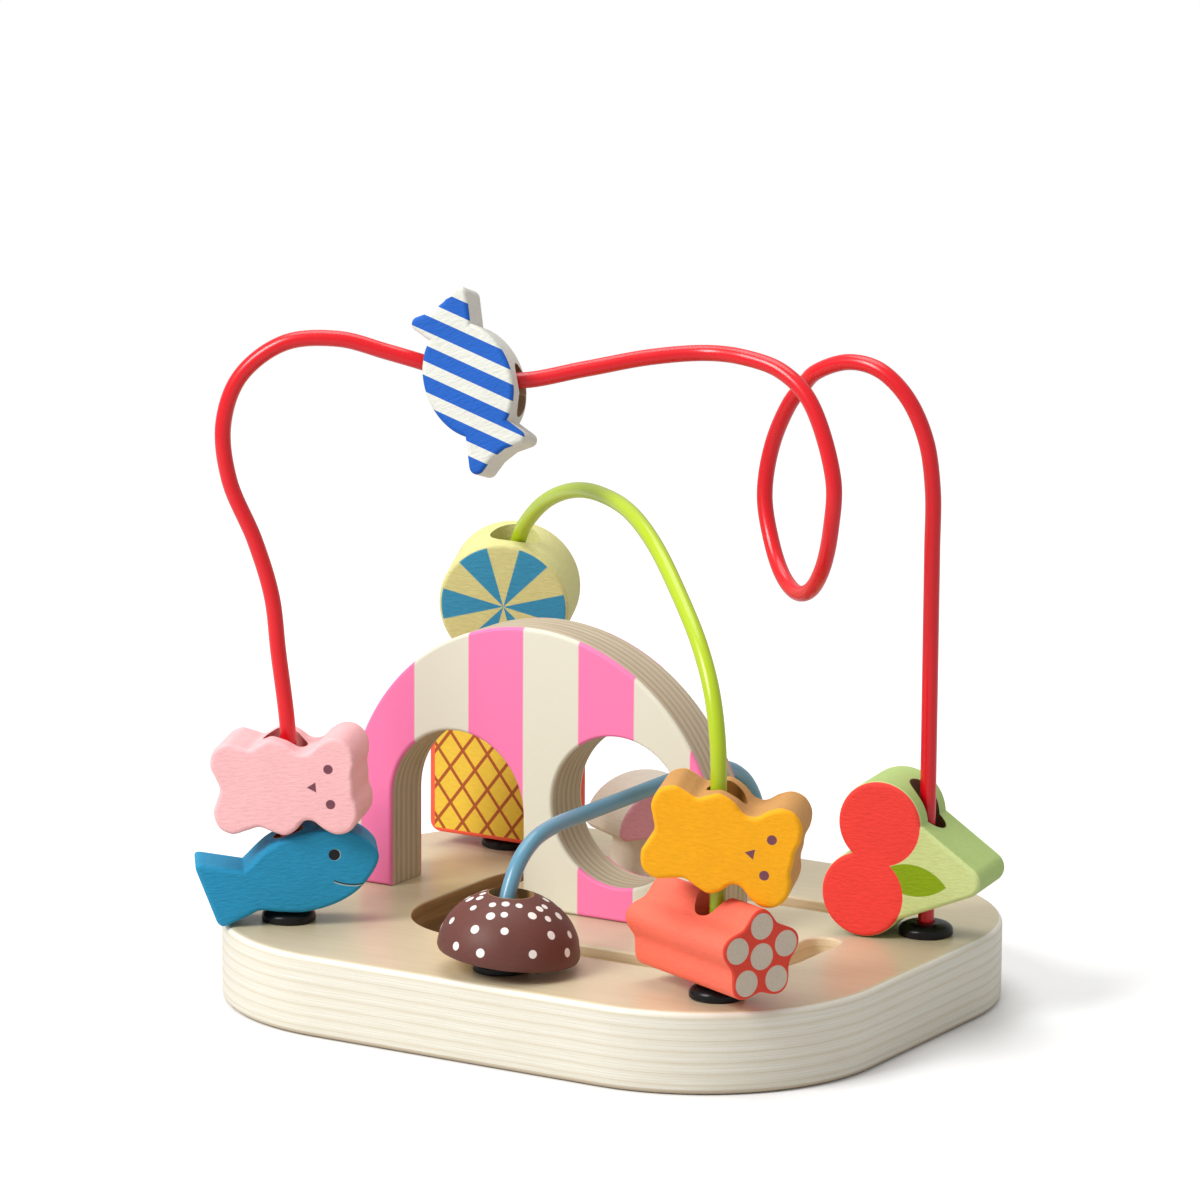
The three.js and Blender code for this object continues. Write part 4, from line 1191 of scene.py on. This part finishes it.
mushroom = plate_mesh("mushroom", mushroom_outline(), MUSHROOM_THICKNESS, MUSHROOM_EDGE)
mushroom = cut_mesh(mushroom, [cylinder_mesh(PEG_SOCKET, BELOW_BOARD, PEG_SOCKET_TOP)])
mushroom_place = holder(MUSHROOM_PLACE, BOARD_TOP + REST_GAP, MUSHROOM_AZIMUTH)
mushroom_paint = painted("mushroom", mushroom_colors, MUSHROOM_THICKNESS)
mushroom_piece = place_object("mushroom_slider", mushroom, mushroom_place, mushroom_paint,
                              "slider", "mushroom")
keep_faces_flat(mushroom_piece)


# Hidden fittings keep their CAD shapes, with their own wood and steel


def beech_material():
    paint = Paint("beech")
    return paint.finish(bare_wood(paint, 2), 0.6, paint.noise((1.0, 1.0, 0.1), 1.5), 0.05)


def steel_material():
    paint = Paint("zinc_steel")
    scratches = paint.noise((1.0, 1.0, 0.05), 2.0, 5.0)
    color = paint.mix(scratches, linear(150, 152, 155), linear(196, 198, 200))
    roughness = paint.math("MULTIPLY_ADD", scratches, 0.2, 0.22)
    return paint.finish(color, roughness, scratches, 0.02, metallic=1.0)


beech = beech_material()
steel = steel_material()
fittings = {"slider_peg": beech, "slider_disc": beech, "slider_screw": steel}
for side in ("left", "middle", "right"):
    fittings["arch_screw_" + side] = steel
for name, material in fittings.items():
    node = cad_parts[name]
    node.data.materials.clear()
    node.data.materials.append(material)


# Floor, light and camera
FLOOR_WHITE = 0.95
FLOOR_BOUNCE = 0.55
FLOOR_RADIUS = 0.8
FLOOR_GAP = 0.1
WORLD_LIGHT = 0.5
CAMERA_PLACE = (0.827431, -1.371005, 0.437070)
CAMERA_RIGHT = Vector((0.85432, 0.51971, 0.00594))
CAMERA_UP = Vector((-0.11173, 0.17249, 0.97865))
CAMERA_BACK = Vector((0.50759, -0.83675, 0.20543))
CAMERA_LENS = 197.25
CAMERA_SENSOR = 36


def camera_ray_value(tree, unseen, seen):
    """One value for what the camera sees and another for the light that bounces."""
    rays = tree.nodes.new("ShaderNodeLightPath")
    value = tree.nodes.new("ShaderNodeMapRange")
    tree.links.new(rays.outputs["Is Camera Ray"], value.inputs["Value"])
    value.inputs["To Min"].default_value = unseen
    value.inputs["To Max"].default_value = seen
    return value.outputs[0]


def floor_material():
    material = bpy.data.materials.new("pale_floor")
    material.use_nodes = True
    tree = material.node_tree
    shader = tree.nodes["Principled BSDF"]
    tree.links.new(camera_ray_value(tree, FLOOR_BOUNCE, FLOOR_WHITE), shader.inputs["Base Color"])
    shader.inputs["Roughness"].default_value = 0.9
    shader.inputs["Specular IOR Level"].default_value = 0.1
    return material


floor_mesh = bpy.data.meshes.new("floor")
floor_rim = [(x, y, 0) for x, y in arc((0, 0), FLOOR_RADIUS, 0, 360, 64)[:-1]]
floor_mesh.from_pydata(floor_rim, [], [tuple(range(len(floor_rim)))])
floor_mesh.materials.append(floor_material())
floor = bpy.data.objects.new("floor", floor_mesh)
floor.location.z = -FLOOR_GAP * MM
scene.collection.objects.link(floor)

world = bpy.data.worlds.new("studio")
scene.world = world
world.use_nodes = True
background = world.node_tree.nodes["Background"]
world.node_tree.links.new(camera_ray_value(world.node_tree, WORLD_LIGHT, 1.0), background.inputs["Strength"])
background.inputs["Color"].default_value = (1.0, 1.0, 1.0, 1.0)


def area_light(name, place, target, size, power):
    light = bpy.data.lights.new(name, "AREA")
    light.shape = "DISK"
    light.size = size
    light.energy = power
    lamp = bpy.data.objects.new(name, light)
    lamp.location = place
    lamp.rotation_euler = (Vector(target) - Vector(place)).to_track_quat("-Z", "Y").to_euler()
    scene.collection.objects.link(lamp)


area_light("key", (-0.6, -1.25, 1.15), (0, 0, 0.06), 0.8, 25)
area_light("top", (-0.3, 0.2, 1.5), (0, 0, 0.05), 1.2, 12)

camera = bpy.data.objects.new("camera", bpy.data.cameras.new("camera"))
camera.data.lens = CAMERA_LENS
camera.data.sensor_width = CAMERA_SENSOR
turned = Matrix((CAMERA_RIGHT, CAMERA_UP, CAMERA_BACK)).transposed().to_4x4()
camera.matrix_world = Matrix.Translation(CAMERA_PLACE) @ turned
scene.collection.objects.link(camera)
scene.camera = camera
scene.view_settings.view_transform = "Standard"
